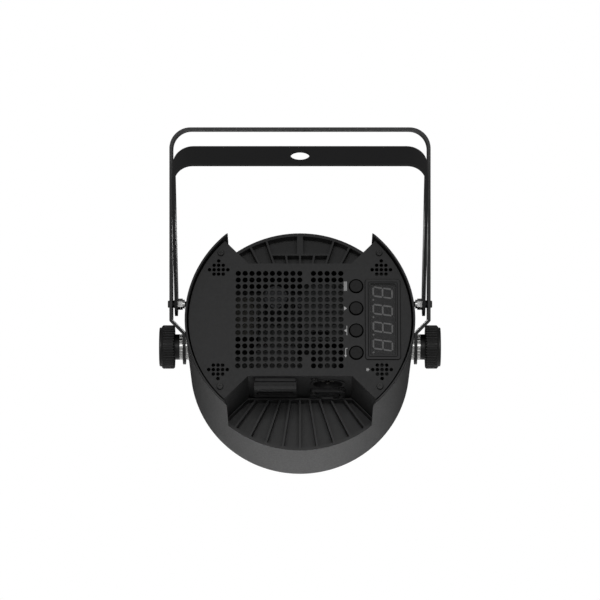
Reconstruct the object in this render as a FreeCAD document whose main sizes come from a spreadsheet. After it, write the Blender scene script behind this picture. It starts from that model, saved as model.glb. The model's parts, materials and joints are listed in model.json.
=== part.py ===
"""Parametric model of a small LED par can light on a double yoke.

Row frame: the origin is the centre of the hanging hole, on the top face of the outer yoke's strap.
+Z is up, +Y is the way the beam leaves, +X is to the right as seen from behind the lamp.
Head frame: its origin is the middle of the tilt axis. The rear panel faces its -Y, and the whole
head is turned about X by the rest tilt.
All lengths are in millimetres and all angles in degrees.
A cutting tool runs at least 1 mm past each face that it opens, and a piece that is fused to another
reaches about 1 mm into it, so a lone "+ 1" or "- 1" in a formula is that overrun.
"""
import FreeCAD, Part
import Sketcher
import math
import os
import re
from FreeCAD import Placement, Rotation, Vector

doc = FreeCAD.newDocument("par_can_light")
sheet = doc.addObject("Spreadsheet::Sheet", "sizes")

X_AXIS = Vector(1, 0, 0)
Y_AXIS = Vector(0, 1, 0)
Z_AXIS = Vector(0, 0, 1)

# ---------------------------------------------------------------- driving sizes

DRIVING_SIZES = {
    # yokes
    "strap_width": 25.0,
    "strap_thick": 2.0,
    "leg_gap": 1.6,
    "strap_bend": 15.0,
    "pivot_drop": 156.5,
    "jog_rise": 18.6,
    "jog_inset": 9.4,
    "yoke_gap": 1.7,
    "link_rise": 30.6,
    "strap_clearance": 1.3,
    "inner_swing": 32.0,
    "inner_end_rise": 4.7,
    "hang_hole_radius": 6.75,
    # clearances
    "face_gap": 0.05,
    "running_gap": 0.08,
    "loose_gap": 0.2,
    "cover_gap": 1.2,
    "border_gap": 1.35,
    # head
    "head_tilt": 16.0,
    "drum_radius": 80.0,
    "drum_wall": 2.2,
    "drum_front": 58.0,
    "drum_cut": 16.5,
    "drum_rear": 77.0,
    "side_wall": 1.5,
    "side_tip_across": 50.5,
    "side_corner": 3.0,
    "rim_round": 0.5,
    "floor_depth": 6.5,
    "floor_thick": 3.0,
    "rib_thick": 1.4,
    "rib_step": 9.0,
    "centre_rib_thick": 4.2,
    "cross_rib_height": 64.0,
    "boss_radius": 11.0,
    "boss_length": 16.0,
    "insert_radius": 6.0,
    "insert_length": 12.0,
    "insert_sunk": 1.0,
    "spot_depth": 0.6,
    "seat_wide": 3.0,
    "seat_thick": 2.0,
    "seat_slope": 3.0,
    "front_boss_radius": 3.0,
    "front_boss_long": 16.0,
    "front_bore_deep": 12.0,
    "front_boss_shift": 1.2,
    "stud_radius": 3.9,
    # rear cover
    "panel_inset": 4.0,
    "panel_thick": 2.0,
    "notch_half": 36.0,
    "notch_height": 40.5,
    "post_radius": 3.5,
    "post_across": 55.2,
    "post_up": 48.1,
    "post_bore_deep": 14.0,
    "cover_screw_long": 12.0,
    "slot_wide": 0.6,
    "slot_long": 2.6,
    "slot_deep": 0.7,
    "screw_radius": 1.45,
    "screw_head": 2.4,
    "screw_head_thick": 1.5,
    "grid_pitch": 4.76,
    "grid_hole": 1.85,
    "grid_left": 43.0,
    "corner_vent_pitch": 3.2,
    "corner_vent_hole": 1.28,
    "corner_vent_across": 56.7,
    "corner_vent_up": 36.0,
    # controls
    "button_across": 39.0,
    "button_pitch": 16.0,
    "button_radius": 4.35,
    "button_hole": 5.2,
    "button_round": 0.5,
    "brim_lip": 0.3,
    "button_proud": 1.0,
    "button_travel": 1.0,
    "display_across": 57.5,
    "bezel_wide": 24.0,
    "bezel_tall": 57.5,
    "bezel_proud": 0.8,
    "bezel_border": 2.9,
    "bezel_seam": 0.4,
    "bezel_flange": 0.9,
    "bezel_groove_inset": 1.7,
    "bezel_groove_wide": 0.45,
    "bezel_corner": 1.8,
    "bezel_flange_thick": 1.0,
    "groove_corner": 1.2,
    "window_corner": 1.5,
    "window_proud": 0.3,
    "window_thick": 1.2,
    "module_wide": 17.6,
    "module_tall": 50.3,
    "module_thick": 8.0,
    "module_foot": 2.5,
    "digit_pitch": 12.6,
    "digit_tall": 14.2,
    "digit_wide": 7.6,
    "digit_stroke": 1.15,
    "digit_slant": 8.0,
    "stem_radius": 2.0,
    "brim_thick": 1.0,
    "switch_case": 6.0,
    "switch_tall": 5.0,
    "switch_case_deep": 3.6,
    "plunger_radius": 1.6,
    # control board, a wide plate behind the display with a tongue toward the middle
    "board_thick": 1.6,
    "board_behind": 13.0,
    "board_wide": 33.0,
    "board_tall": 74.0,
    "board_across": 49.0,
    "tongue_wide": 31.0,
    "tongue_tall": 42.0,
    "tongue_across": 18.0,
    "tongue_up": 10.0,
    "chip_side": 10.0,
    "chip_thick": 1.4,
    "pillar_radius": 2.6,
    "pillar_bore": 1.3,
    "pillar_bore_deep": 8.0,
    "small_hole": 1.6,
    "small_head": 2.3,
    "small_head_thick": 1.5,
    "small_shank": 1.2,
    "small_shank_long": 7.0,
    "capsule_radius": 3.0,
    "capsule_long": 5.0,
    # mains inlet
    "inlet_across": 17.2,
    "inlet_behind": 6.0,
    "inlet_wide": 30.0,
    "inlet_long": 46.0,
    "inlet_flange": 2.0,
    "inlet_deep": 24.0,
    "inlet_corner": 1.5,
    "inlet_ledge": 1.8,
    "inlet_ledge_long": 2.3,
    "blade_wide": 2.0,
    "blade_long": 4.0,
    "blade_clear": 0.3,
    "blade_spread": 7.0,
    "blade_stagger": 2.0,
    "socket_wide": 24.5,
    "socket_tall": 16.5,
    "socket_deep": 17.5,
    "drawer_wide": 20.0,
    "drawer_tall": 10.0,
    "drawer_deep": 20.0,
    "drawer_lip_wide": 29.0,
    "drawer_lip_long": 7.0,
    "drawer_lip": 5.0,
    "drawer_ridge": 0.5,
    "socket_rebate": 1.2,
    "fuse_radius": 2.6,
    "fuse_long": 18.0,
    # data connectors
    "data_across": 19.3,
    "input_behind": 20.5,
    "output_behind": 46.3,
    "input_flange_wide": 26.0,
    "input_flange_long": 31.0,
    "output_flange_wide": 24.5,
    "output_flange_long": 19.4,
    "data_flange": 2.0,
    "input_barrel": 12.0,
    "input_proud": 0.6,
    "input_cavity": 10.5,
    "data_deep": 18.0,
    "output_barrel": 9.6,
    "output_slot": 9.2,
    "output_plug": 8.2,
    "input_screw_inset": 3.5,
    "output_screw_inset": 2.6,
    "output_screw_margin": 3.4,
    "input_corner": 2.5,
    "output_corner": 2.0,
    "flange_head": 2.5,
    "flange_head_thick": 1.1,
    "flange_shank": 1.3,
    "flange_shank_long": 7.0,
    "flange_slot_long": 3.4,
    "flange_slot_wide": 0.7,
    "flange_slot_deep": 0.45,
    "key_wide": 2.0,
    "data_pin": 1.2,
    "data_pin_circle": 3.6,
    "latch_wide": 8.0,
    "latch_tall": 3.0,
    "latch_travel": 1.5,
    "latch_proud": 1.3,
    "latch_reach": 8.0,
    "latch_clear": 0.5,
    "latch_inset": 1.6,
    # power supply, on standoffs above the drum's floor
    "supply_wide": 72.0,
    "supply_tall": 66.0,
    "supply_across": 15.0,
    "supply_rise": 9.0,
    "supply_lead_way": 3.6,
    "lead_across": 6.0,
    "lead_way": 3.2,
    "lead_radius": 2.2,
    "lead_beyond": 5.0,
    # light engine
    "bezel_ring_thick": 4.0,
    "window_lip": 3.8,
    "window_margin": 7.0,
    "lens_cover_thick": 2.5,
    "gasket_thick": 1.5,
    "sink_margin": 4.0,
    "sink_front": 20.0,
    "sink_base": 4.0,
    "fin_thick": 2.0,
    "fin_pitch": 8.0,
    "lens_radius": 14.0,
    "lens_height": 18.0,
    "lens_inner_circle": 19.0,
    "lens_outer_circle": 49.0,
    "lens_lift": 2.0,
    "emitter_side": 7.0,
    "emitter_thick": 1.5,
    "holder_margin": 6.5,
    "holder_plate": 3.0,
    "holder_wall": 1.5,
    "board_margin": 4.0,
    "head_sunk": 1.8,
    "bezel_round": 1.5,
    "bezel_screw_long": 12.0,
    # tilt knobs
    "washer_radius": 9.1,
    "tooth_radius": 0.55,
    "clamp_washer_thick": 2.2,
    "collar_thick": 3.6,
    "grip_radius": 15.55,
    "grip_thick": 9.3,
    "grip_chamfer": 1.1,
    "grip_edge": 0.8,
    "knurl_radius": 0.7,
    "cap_radius": 13.9,
    "cap_rise": 1.5,
    "cap_round": 0.4,
    # link bolts
    "bolt_radius": 1.96,
    "bolt_head_radius": 2.7,
    "bolt_head_thick": 1.5,
    "nut_flat": 7.0,
    "nut_thick": 4.8,
}

# Sizes that follow from others: each is a sum of driving sizes.
DERIVED_SIZES = {
    "outer_half_width": "drum_radius + leg_gap + strap_thick + jog_inset",
    "inner_arm": "pivot_drop - strap_thick - link_rise - strap_clearance",
    "window_radius": "drum_radius - drum_wall - window_margin",
    "bezel_ring_inner": "window_radius - window_lip",
    "sink_radius": "drum_radius - boss_length - sink_margin",
}

KNURL_COUNT = 48
WASHER_TEETH = 24
GRID_COLUMNS = 16
GRID_ROWS = 15
SHORT_COLUMN = 10
SHORT_COLUMN_ROWS = (0, 1, 13, 14)
BUTTON_NAMES = ("button_menu", "button_up", "button_down", "button_enter")
OUTER_LENSES = 9
INNER_LENSES = 3
BEZEL_SCREWS = 6
DIGITS = 4
DRAWER_RIDGES = 3

for row, (alias, value) in enumerate(DRIVING_SIZES.items(), start=1):
    sheet.set("A%d" % row, alias)
    sheet.set("B%d" % row, str(value))
    sheet.setAlias("B%d" % row, alias)
doc.recompute()


# ---------------------------------------------------------------- helpers


def read(alias):
    """The plain number that a cell holds, or the sum that a derived size stands for."""
    if alias not in DERIVED_SIZES:
        return float(sheet.get(alias))
    total = 0
    sign = 1
    for word in DERIVED_SIZES[alias].split():
        if word in ("+", "-"):
            sign = 1 if word == "+" else -1
        else:
            total += sign * read(word)
    return total


def formula(text):
    """An expression in which each word that is a cell's alias points at the sheet."""
    def refer(match):
        word = match.group(0)
        if word in DERIVED_SIZES:
            return "(" + formula(DERIVED_SIZES[word]) + ")"
        return "sizes." + word if word in DRIVING_SIZES else word
    return re.sub(r"[a-z]+(?:_[a-z]+)*", refer, str(text))


def bind(thing, prop, text):
    thing.setExpression(prop, formula(text))


def bind_base(thing, place):
    for letter, text in zip("xyz", place):
        bind(thing, "Placement.Base." + letter, text)


def box(name, size, middle):
    """A box from its three lengths and the place of its middle."""
    thing = doc.addObject("Part::Box", name)
    for prop, text in zip(("Length", "Width", "Height"), size):
        bind(thing, prop, text)
    bind_base(thing, ["(%s) - (%s) / 2" % (m, s) for m, s in zip(middle, size)])
    return thing


TURNS = {
    "x": Rotation(Y_AXIS, 90),
    "y": Rotation(X_AXIS, -90),
    "z": Rotation(),
}


def rod(name, axis, radius, start, length):
    """A cylinder that runs from start along one axis."""
    thing = doc.addObject("Part::Cylinder", name)
    bind(thing, "Radius", radius)
    bind(thing, "Height", length)
    thing.Placement = Placement(Vector(), TURNS[axis])
    bind_base(thing, start)
    return thing


def cone(name, axis, first, last, start, length):
    thing = doc.addObject("Part::Cone", name)
    bind(thing, "Radius1", first)
    bind(thing, "Radius2", last)
    bind(thing, "Height", length)
    thing.Placement = Placement(Vector(), TURNS[axis])
    bind_base(thing, start)
    return thing


def cut(name, base, *tools):
    """The base without the tools."""
    thing = doc.addObject("Part::Cut", name)
    thing.Base = base
    thing.Tool = tools[0] if len(tools) == 1 else compound(name + "_tools", tools)
    return thing


def fuse(name, *pieces):
    thing = doc.addObject("Part::MultiFuse", name)
    thing.Shapes = list(pieces)
    thing.Refine = True
    return thing


def common(name, base, tool):
    thing = doc.addObject("Part::Common", name)
    thing.Base = base
    thing.Tool = tool
    return thing


def compound(name, pieces):
    thing = doc.addObject("Part::Compound", name)
    thing.Links = list(pieces)
    return thing


def mirrored(name, source, normal=X_AXIS):
    thing = doc.addObject("Part::Mirroring", name)
    thing.Source = source
    thing.Normal = normal
    return thing


def both_sides(name, source, normal=X_AXIS):
    return compound(name, (source, mirrored(name + "_twin", source, normal)))


def rounded(name, base, radius, picked):
    """The base with the picked edges rounded to the radius."""
    doc.recompute()
    numbers = [i for i, edge in enumerate(base.Shape.Edges, start=1) if picked(edge)]
    thing = doc.addObject("Part::Fillet", name)
    thing.Base = base
    thing.Edges = [(number, radius, radius) for number in numbers]
    return thing


def edges_at(axis, place):
    """Picks the edges that lie wholly at one place along an axis."""
    def picked(edge):
        return all(abs(getattr(vertex.Point, axis) - place) < 0.01 for vertex in edge.Vertexes)
    return picked


def edges_along(axis):
    """Picks the edges whose two ends stand apart along an axis."""
    def picked(edge):
        ends = [getattr(vertex.Point, axis) for vertex in edge.Vertexes]
        return max(ends) - min(ends) > 0.01
    return picked


def origin_plane(body, role):
    return [plane for plane in body.Origin.OriginFeatures if plane.Role == role][0]


def outlined(body, name, role, outline):
    """A closed sketch of straight lines whose corners are bound to the sheet."""
    sketch = body.newObject("Sketcher::SketchObject", name)
    sketch.AttachmentSupport = [(origin_plane(body, role), "")]
    sketch.MapMode = "FlatFace"
    count = len(outline)
    start_radius = 50
    ring = []
    for number in range(count):
        angle = 2 * math.pi * number / count
        ring.append(Vector(start_radius * math.cos(angle), start_radius * math.sin(angle), 0))
    for number in range(count):
        sketch.addGeometry(Part.LineSegment(ring[number], ring[(number + 1) % count]))
    for number in range(count):
        following = (number + 1) % count
        sketch.addConstraint(Sketcher.Constraint("Coincident", number, 2, following, 1))
    for number, corner in enumerate(outline):
        for kind, text in zip(("DistanceX", "DistanceY"), corner):
            index = sketch.addConstraint(Sketcher.Constraint(kind, -1, 1, number, 1, 1.0))
            bind(sketch, "Constraints[%d]" % index, text)
    return sketch


def prism(name, role, outline, length, middle=("0", "0", "0")):
    """A straight outline padded both ways from an origin plane."""
    body = doc.addObject("PartDesign::Body", name)
    pad = body.newObject("PartDesign::Pad", name + "_pad")
    pad.Profile = outlined(body, name + "_outline", role, outline)
    bind(pad, "Length", length)
    pad.Midplane = True
    body.Tip = pad
    bind_base(body, middle)
    return body


def turned(name, outline, axis="y"):
    """An outline of (radius, place along the axis) corners, revolved about the axis."""
    body = doc.addObject("PartDesign::Body", name)
    sketch = outlined(body, name + "_outline", "XY_Plane", outline)
    revolution = body.newObject("PartDesign::Revolution", name + "_turn")
    revolution.Profile = sketch
    revolution.ReferenceAxis = (sketch, ["V_Axis"])
    revolution.Angle = 360
    body.Tip = revolution
    if axis == "x":
        body.Placement = Placement(Vector(), Rotation(Z_AXIS, -90))
    return body


NODES = []


def keep(label, pieces, frame="head"):
    """One sub-part: a group of solids with its own label and its place in the row frame."""
    node = compound("node_" + label, pieces)
    node.Label = label
    if frame == "head":
        node.Placement = Placement(Vector(), Rotation(X_AXIS, -1))
        bind(node, "Placement.Rotation.Angle", "0 - head_tilt")
        bind(node, "Placement.Base.z", "0 - pivot_drop")
    elif frame == "inner":
        node.Placement = Placement(Vector(), Rotation(X_AXIS, 1))
        bind(node, "Placement.Rotation.Angle", "inner_swing")
        bind(node, "Placement.Base.z", "link_rise - pivot_drop")
    NODES.append(node)
    return node


def polar(radius, degrees):
    """The x and z of a point on a circle in the head frame, counted from straight up."""
    turn = math.radians(degrees)
    return radius * math.sin(turn), radius * math.cos(turn)


# ---------------------------------------------------------------- yokes


def strap_outline(right_half):
    """A whole strap's section from the right half's corners, given from tip to tip."""
    left_half = [("0 - (%s)" % across, up) for across, up in reversed(right_half)]
    return right_half + left_half


def bend_edges(across, up):
    """Picks the strap's edges that run along Y at one of the given corners."""
    def picked(edge):
        ends = [vertex.Point for vertex in edge.Vertexes]
        if len(ends) != 2 or abs(ends[0].y - ends[1].y) < 1:
            return False
        return abs(abs(ends[0].x) - across) < 0.01 and abs(ends[0].z - up) < 0.01
    return picked


def leg_blank(name, end_height, top_reach, side_reach):
    """The side view of a yoke: a straight band with a round end at the pivot."""
    band = box(name + "_band", (side_reach, "strap_width", top_reach),
               ("0", "0", "%s + (%s) / 2" % (end_height, top_reach)))
    end = rod(name + "_end", "x", "strap_width / 2",
              ("0 - (%s) / 2" % side_reach, "0", end_height), side_reach)
    return fuse(name, band, end)


def cross_holes(name, radius, up):
    """One hole through both legs, along X."""
    return rod(name, "x", radius, ("0 - outer_half_width * 1.2", "0", up), "outer_half_width * 2.4")


def build_outer_yoke():
    low_outer = "outer_half_width - jog_inset"
    low_inner = low_outer + " - strap_thick"
    mitre = "strap_thick * tan(22.5)"
    tip = "0 - pivot_drop - strap_width / 2 - 1"
    half = [
        ("outer_half_width", "0"),
        ("outer_half_width", "jog_rise - pivot_drop"),
        (low_outer, "jog_rise - pivot_drop - jog_inset"),
        (low_outer, tip),
        (low_inner, tip),
        (low_inner, "jog_rise - pivot_drop - jog_inset + " + mitre),
        ("outer_half_width - strap_thick", "jog_rise - pivot_drop + " + mitre),
        ("outer_half_width - strap_thick", "0 - strap_thick"),
    ]
    strap = prism("outer_strap", "XZ_Plane", strap_outline(half), "strap_width")
    width = read("outer_half_width")
    thick = read("strap_thick")
    jog_top = read("jog_rise") - read("pivot_drop")
    jog_foot = jog_top - read("jog_inset")
    mitre_size = thick * math.tan(math.radians(22.5))
    low = width - read("jog_inset")
    bend = read("strap_bend")
    shaped = rounded("outer_bend_out", strap, bend, bend_edges(width, 0))
    shaped = rounded("outer_bend_in", shaped, bend - thick, bend_edges(width - thick, -thick))
    shaped = rounded("outer_jog_top", shaped, thick, bend_edges(width, jog_top))
    shaped = rounded("outer_jog_foot", shaped, thick,
                     bend_edges(low - thick, jog_foot + mitre_size))
    blank = leg_blank("outer_blank", "0 - pivot_drop", "pivot_drop + 1", "outer_half_width * 2.2")
    body = common("outer_trimmed", shaped, blank)
    hang = rod("outer_hang_hole", "z", "hang_hole_radius", ("0", "0", "0 - strap_thick * 2"),
               "strap_thick * 3")
    pivots = cross_holes("outer_pivot_holes", "stud_radius + loose_gap", "0 - pivot_drop")
    links = cross_holes("outer_link_holes", "bolt_radius + running_gap",
                        "link_rise - pivot_drop")
    keep("outer_yoke", [cut("outer_drilled", body, hang, pivots, links)], "row")


def build_inner_yoke():
    face = "outer_half_width - strap_thick - yoke_gap"
    tip = "inner_end_rise - strap_width / 2 - 1"
    half = [
        (face, "inner_arm"),
        (face, tip),
        (face + " - strap_thick", tip),
        (face + " - strap_thick", "inner_arm - strap_thick"),
    ]
    strap = prism("inner_strap", "XZ_Plane", strap_outline(half), "strap_width")
    width = read("outer_half_width") - read("strap_thick") - read("yoke_gap")
    thick = read("strap_thick")
    bend = read("strap_bend")
    arm = read("inner_arm")
    shaped = rounded("inner_bend_out", strap, bend, bend_edges(width, arm))
    shaped = rounded("inner_bend_in", shaped, bend - thick, bend_edges(width - thick, arm - thick))
    blank = leg_blank("inner_blank", "inner_end_rise", "inner_arm + 1", "outer_half_width * 2.2")
    body = common("inner_trimmed", shaped, blank)
    hang = rod("inner_hang_hole", "z", "hang_hole_radius",
               ("0", "0", "inner_arm - strap_thick * 2"), "strap_thick * 3")
    links = cross_holes("inner_link_holes", "bolt_radius + running_gap", "0")
    keep("inner_yoke", [cut("inner_drilled", body, hang, links)], "inner")


def build_link_hardware():
    up = "link_rise - pivot_drop"
    inner_outer_face = "outer_half_width - strap_thick - yoke_gap"
    nut_face = inner_outer_face + " - strap_thick"
    shank_start = nut_face + " - face_gap - nut_thick - 1.2"
    shank = rod("link_shank", "x", "bolt_radius", (shank_start, "0", up),
                "outer_half_width - (%s)" % shank_start)
    head = cone("link_head", "x", "bolt_head_radius", "bolt_head_radius * 0.9",
                ("outer_half_width", "0", up), "bolt_head_thick")
    bolt = fuse("link_bolt", shank, head)
    keep("link_bolts", [both_sides("link_bolt_pair", bolt)], "row")

    blank = rod("link_spacer_disc", "x", "bolt_radius * 1.4",
                (inner_outer_face + " + face_gap", "0", up), "yoke_gap - face_gap * 2")
    hole = rod("link_spacer_hole", "x", "bolt_radius + running_gap",
               (inner_outer_face + " - 1", "0", up), "yoke_gap + 2")
    spacer = cut("link_spacer", blank, hole)
    keep("link_spacers", [both_sides("link_spacer_pair", spacer)], "row")

    nut_start = nut_face + " - face_gap - nut_thick"
    hexagon = doc.addObject("Part::Prism", "link_nut_hexagon")
    hexagon.Polygon = 6
    bind(hexagon, "Circumradius", "nut_flat / 2 / cos(30)")
    bind(hexagon, "Height", "nut_thick * 0.7")
    hexagon.Placement = Placement(Vector(), TURNS["x"])
    bind_base(hexagon, (nut_start + " + nut_thick * 0.3", "0", up))
    collar = rod("link_nut_collar", "x", "nut_flat * 0.46", (nut_start, "0", up), "nut_thick * 0.5")
    hole = rod("link_nut_hole", "x", "bolt_radius + running_gap",
               (nut_start + " - 1", "0", up), "nut_thick + 2")
    nut = cut("link_nut", fuse("link_nut_blank", hexagon, collar), hole)
    keep("link_nuts", [both_sides("link_nut_pair", nut)], "row")


# ---------------------------------------------------------------- housing


def notch(name, margin, shallow, deep):
    """The trapezoid above the cover's straight edge, drawn in by a margin from its walls."""
    slope = "(%s) * tan(22.5)" % margin
    low = "notch_height + (%s)" % margin
    outline = [
        ("notch_half + " + slope, low),
        ("notch_half + " + slope + " + drum_radius", low + " + drum_radius"),
        ("0 - (notch_half + " + slope + " + drum_radius)", low + " + drum_radius"),
        ("0 - (notch_half + " + slope + ")", low),
    ]
    length = "(%s) - (%s)" % (deep, shallow)
    middle = "0 - ((%s) + (%s)) / 2" % (deep, shallow)
    top = prism(name, "XZ_Plane", outline, length, ("0", middle, "0"))
    return both_sides(name + "_pair", top, Z_AXIS)


def radial_rib(name, thick, degrees, inner, outer):
    """A straight rib that points away from the drum's axis."""
    rib = doc.addObject("Part::Box", name)
    bind(rib, "Length", thick)
    bind(rib, "Width", "drum_cut - floor_depth + 1")
    bind(rib, "Height", "(%s) - (%s)" % (outer, inner))
    turn = Rotation(Y_AXIS, degrees)
    rib.Placement = Placement(Vector(), turn)
    side = turn.multVec(X_AXIS)
    away = turn.multVec(Z_AXIS)
    bind_base(rib, (
        "%.9f * (%s) / -2 + %.9f * (%s)" % (side.x, thick, away.x, inner),
        "0 - drum_cut",
        "%.9f * (%s) / -2 + %.9f * (%s)" % (side.z, thick, away.z, inner),
    ))
    return rib


def build_ribs():
    """The ribs of both pockets, trimmed to the pockets and to the drum."""
    start = "notch_height"
    reach = "drum_radius + 1"
    ribs = []
    for step in range(-4, 5):
        degrees = 180 + step * read("rib_step")
        ribs.append(radial_rib("low_rib_%d" % (step + 4), "rib_thick", degrees, start, reach))
    for step in (-4, -3, -2, 2, 3, 4):
        degrees = step * read("rib_step")
        ribs.append(radial_rib("high_rib_%d" % (step + 4), "rib_thick", degrees, start, reach))
    for step in (-1, 0, 1):
        degrees = step * read("rib_step")
        ribs.append(radial_rib("short_rib_%d" % (step + 1), "rib_thick", degrees, start,
                               "cross_rib_height / cos(%d * rib_step)" % step))
    ribs.append(radial_rib("centre_rib", "centre_rib_thick", 0, "cross_rib_height", reach))
    ribs.append(box("cross_rib",
                    ("2 * cross_rib_height * tan(rib_step * 2)", "drum_cut - floor_depth + 1",
                     "rib_thick"),
                    ("0", "0 - (drum_cut + floor_depth - 1) / 2", "cross_rib_height")))
    pocket = notch("rib_pocket", "border_gap + rib_thick / 2", "floor_depth - 1", "drum_cut")
    inside = rod("rib_limit", "y", "drum_radius - drum_wall / 2", ("0", "0 - drum_cut", "0"),
                 "drum_cut")
    trimmed = common("ribs_in_pocket", common("ribs_in_drum", fuse("all_ribs", *ribs), inside),
                     pocket)
    outer = notch("border_outer", "border_gap", "floor_depth - 1", "drum_cut")
    inner = notch("border_inner", "border_gap + rib_thick", "floor_depth - 2", "drum_cut + 1")
    border_limit = rod("border_limit", "y", "drum_radius - drum_wall / 2",
                       ("0", "0 - drum_cut", "0"), "drum_cut")
    border = common("border_ribs", cut("border_blank", outer, inner), border_limit)
    return trimmed, border


def end_corner_edges(edge):
    """The upright edge where the end of a side wall meets the rear rim."""
    rear = -read("drum_rear")
    across = read("side_tip_across")
    return all(abs(vertex.Point.y - rear) < 0.01 and abs(vertex.Point.x - across) < 0.01
               for vertex in edge.Vertexes)


def build_side_walls():
    outside = rod("side_outside", "y", "drum_radius", ("0", "0 - drum_rear", "0"),
                  "drum_rear - drum_cut + 1")
    inside = rod("side_inside", "y", "drum_radius - side_wall", ("0", "0 - drum_rear - 1", "0"),
                 "drum_rear + 1")
    tube = rounded("side_tube_rounded", cut("side_tube", outside, inside), read("rim_round"),
                   edges_at("y", -read("drum_rear")))
    band = box("side_band", ("drum_radius", "drum_rear", "drum_radius * 2.2"),
               ("side_tip_across + drum_radius / 2", "0 - drum_rear / 2", "0"))
    band = rounded("side_band_rounded", band, read("side_corner"), end_corner_edges)
    return common("side_walls", tube, both_sides("side_bands", band))


def cover_corners():
    """A tag and the place of each of the rear cover's four screws."""
    return [("%s%s" % (side_tag, rise_tag), "%d * post_across" % side, "%d * post_up" % rise)
            for side_tag, side in (("l", -1), ("r", 1)) for rise_tag, rise in (("d", -1), ("u", 1))]


def bezel_screw_places():
    """Across and up places of the front ring's screws, in the middle of the ring's face."""
    circle = (read("bezel_ring_inner") + read("drum_radius")) / 2 + read("front_boss_shift")
    step = 360 / BEZEL_SCREWS
    places = [polar(circle, step * (number + 0.5)) for number in range(BEZEL_SCREWS)]
    return [("%.6f" % across, "%.6f" % up) for across, up in places]


def build_housing():
    inner_radius = "drum_radius - drum_wall"
    ring_front = "drum_front - bezel_ring_thick"
    shoulder = ring_front + " - gasket_thick - lens_cover_thick"
    shoulder_radius = "window_radius - seat_wide"
    drum = turned("drum", [
        ("drum_radius", "0 - drum_cut"),
        ("drum_radius", ring_front),
        (inner_radius, ring_front),
        (inner_radius, shoulder),
        (shoulder_radius, shoulder),
        (shoulder_radius, shoulder + " - seat_thick"),
        (inner_radius, shoulder + " - seat_thick - seat_slope"),
        (inner_radius, "floor_thick - floor_depth"),
        ("0", "floor_thick - floor_depth"),
        ("0", "0 - floor_depth"),
        (inner_radius, "0 - floor_depth"),
        (inner_radius, "0 - drum_cut"),
    ])
    ribs, border = build_ribs()
    walls = build_side_walls()

    boss = rod("pivot_boss", "x", "boss_radius",
               ("drum_radius - boss_length", "0", "0"), "boss_length - drum_wall / 2")
    spot = rod("pivot_spot_face", "x", "washer_radius + loose_gap * 2",
               ("drum_radius - spot_depth", "0", "0"), "leg_gap + spot_depth")
    bore = rod("pivot_bore", "x", "insert_radius + running_gap",
               ("drum_radius - insert_sunk - insert_length", "0", "0"), "insert_length + leg_gap")
    throat = rod("pivot_throat", "x", "stud_radius + loose_gap",
                 ("drum_radius - boss_length - 1", "0", "0"), "boss_length")

    posts = []
    bores = []
    post_top = "drum_rear - panel_inset - panel_thick - face_gap"
    for tag, across, up in cover_corners():
        posts.append(rod("post_" + tag, "y", "post_radius",
                         (across, "0 - (%s)" % post_top, up), post_top + " - floor_depth + 1"))
        bores.append(rod("post_bore_" + tag, "y", "screw_radius + running_gap",
                         (across, "0 - (%s) - 1" % post_top, up), "post_bore_deep + 1"))

    screw_bosses = []
    screw_bores = []
    for number, (across, up) in enumerate(bezel_screw_places()):
        screw_bosses.append(rod("front_boss_%d" % number, "y", "front_boss_radius",
                                (across, ring_front + " - front_boss_long", up),
                                "front_boss_long"))
        screw_bores.append(rod("front_bore_%d" % number, "y", "screw_radius + running_gap",
                               (across, ring_front + " - front_bore_deep", up),
                               "front_bore_deep * 2"))

    lead_hole = rod("lead_hole", "y", "lead_way", ("lead_across", "0 - floor_depth * 2", "0"),
                    "floor_depth * 3")
    solid = fuse("housing_solid", drum, walls, ribs, border, both_sides("pivot_bosses", boss),
                 *posts, *screw_bosses)
    housing = cut("housing_cut", solid, both_sides("spot_faces", spot),
                  both_sides("pivot_bores", bore), both_sides("pivot_throats", throat),
                  lead_hole, *bores, *screw_bores)
    keep("housing", [housing])

    blank = rod("insert_blank", "x", "insert_radius",
                ("drum_radius - insert_sunk - insert_length + face_gap", "0", "0"),
                "insert_length")
    stud_way = rod("insert_bore", "x", "stud_radius + running_gap",
                   ("drum_radius - insert_length * 2", "0", "0"), "insert_length * 3")
    insert = cut("pivot_insert", blank, stud_way)
    keep("pivot_inserts", [both_sides("pivot_insert_pair", insert)])


# ---------------------------------------------------------------- rear cover

PANEL_FACE = "0 - drum_rear + panel_inset"
PANEL_BACK = "(0 - drum_rear + panel_inset + panel_thick)"
COVER_RADIUS = "drum_radius - side_wall - cover_gap"
INLET_CORE_WIDE = "inlet_wide - inlet_ledge * 2"
INLET_CORE_LONG = "inlet_long - inlet_ledge_long * 2"


def ventilation_holes():
    """The square grid of holes, one column of it shorter, and the four corner clusters."""
    pitch = read("grid_pitch")
    reach = read("panel_thick") + 2
    start = -read("drum_rear") + read("panel_inset") - 1
    holes = []

    def drill(radius, across, up):
        holes.append(Part.makeCylinder(radius, reach, Vector(across, start, up), Y_AXIS))

    for column in range(GRID_COLUMNS):
        for line in range(GRID_ROWS):
            if column == SHORT_COLUMN and line in SHORT_COLUMN_ROWS:
                continue
            drill(read("grid_hole"), column * pitch - read("grid_left"),
                  (line - (GRID_ROWS - 1) / 2) * pitch)
    step = read("corner_vent_pitch")
    cluster = [(0, 2)] + [(i, 1) for i in (-1, 0, 1)] + [(i, 0) for i in (-2, -1, 0, 1, 2)]
    cluster += [(i, -1) for i in (-1, 0, 1)]
    for side in (-1, 1):
        for rise in (-1, 1):
            for across, up in cluster:
                drill(read("corner_vent_hole"),
                      side * read("corner_vent_across") + across * step,
                      rise * (read("corner_vent_up") + up * step))
    vents = doc.addObject("Part::Feature", "ventilation_holes")
    vents.Shape = Part.makeCompound(holes)
    return vents


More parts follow.
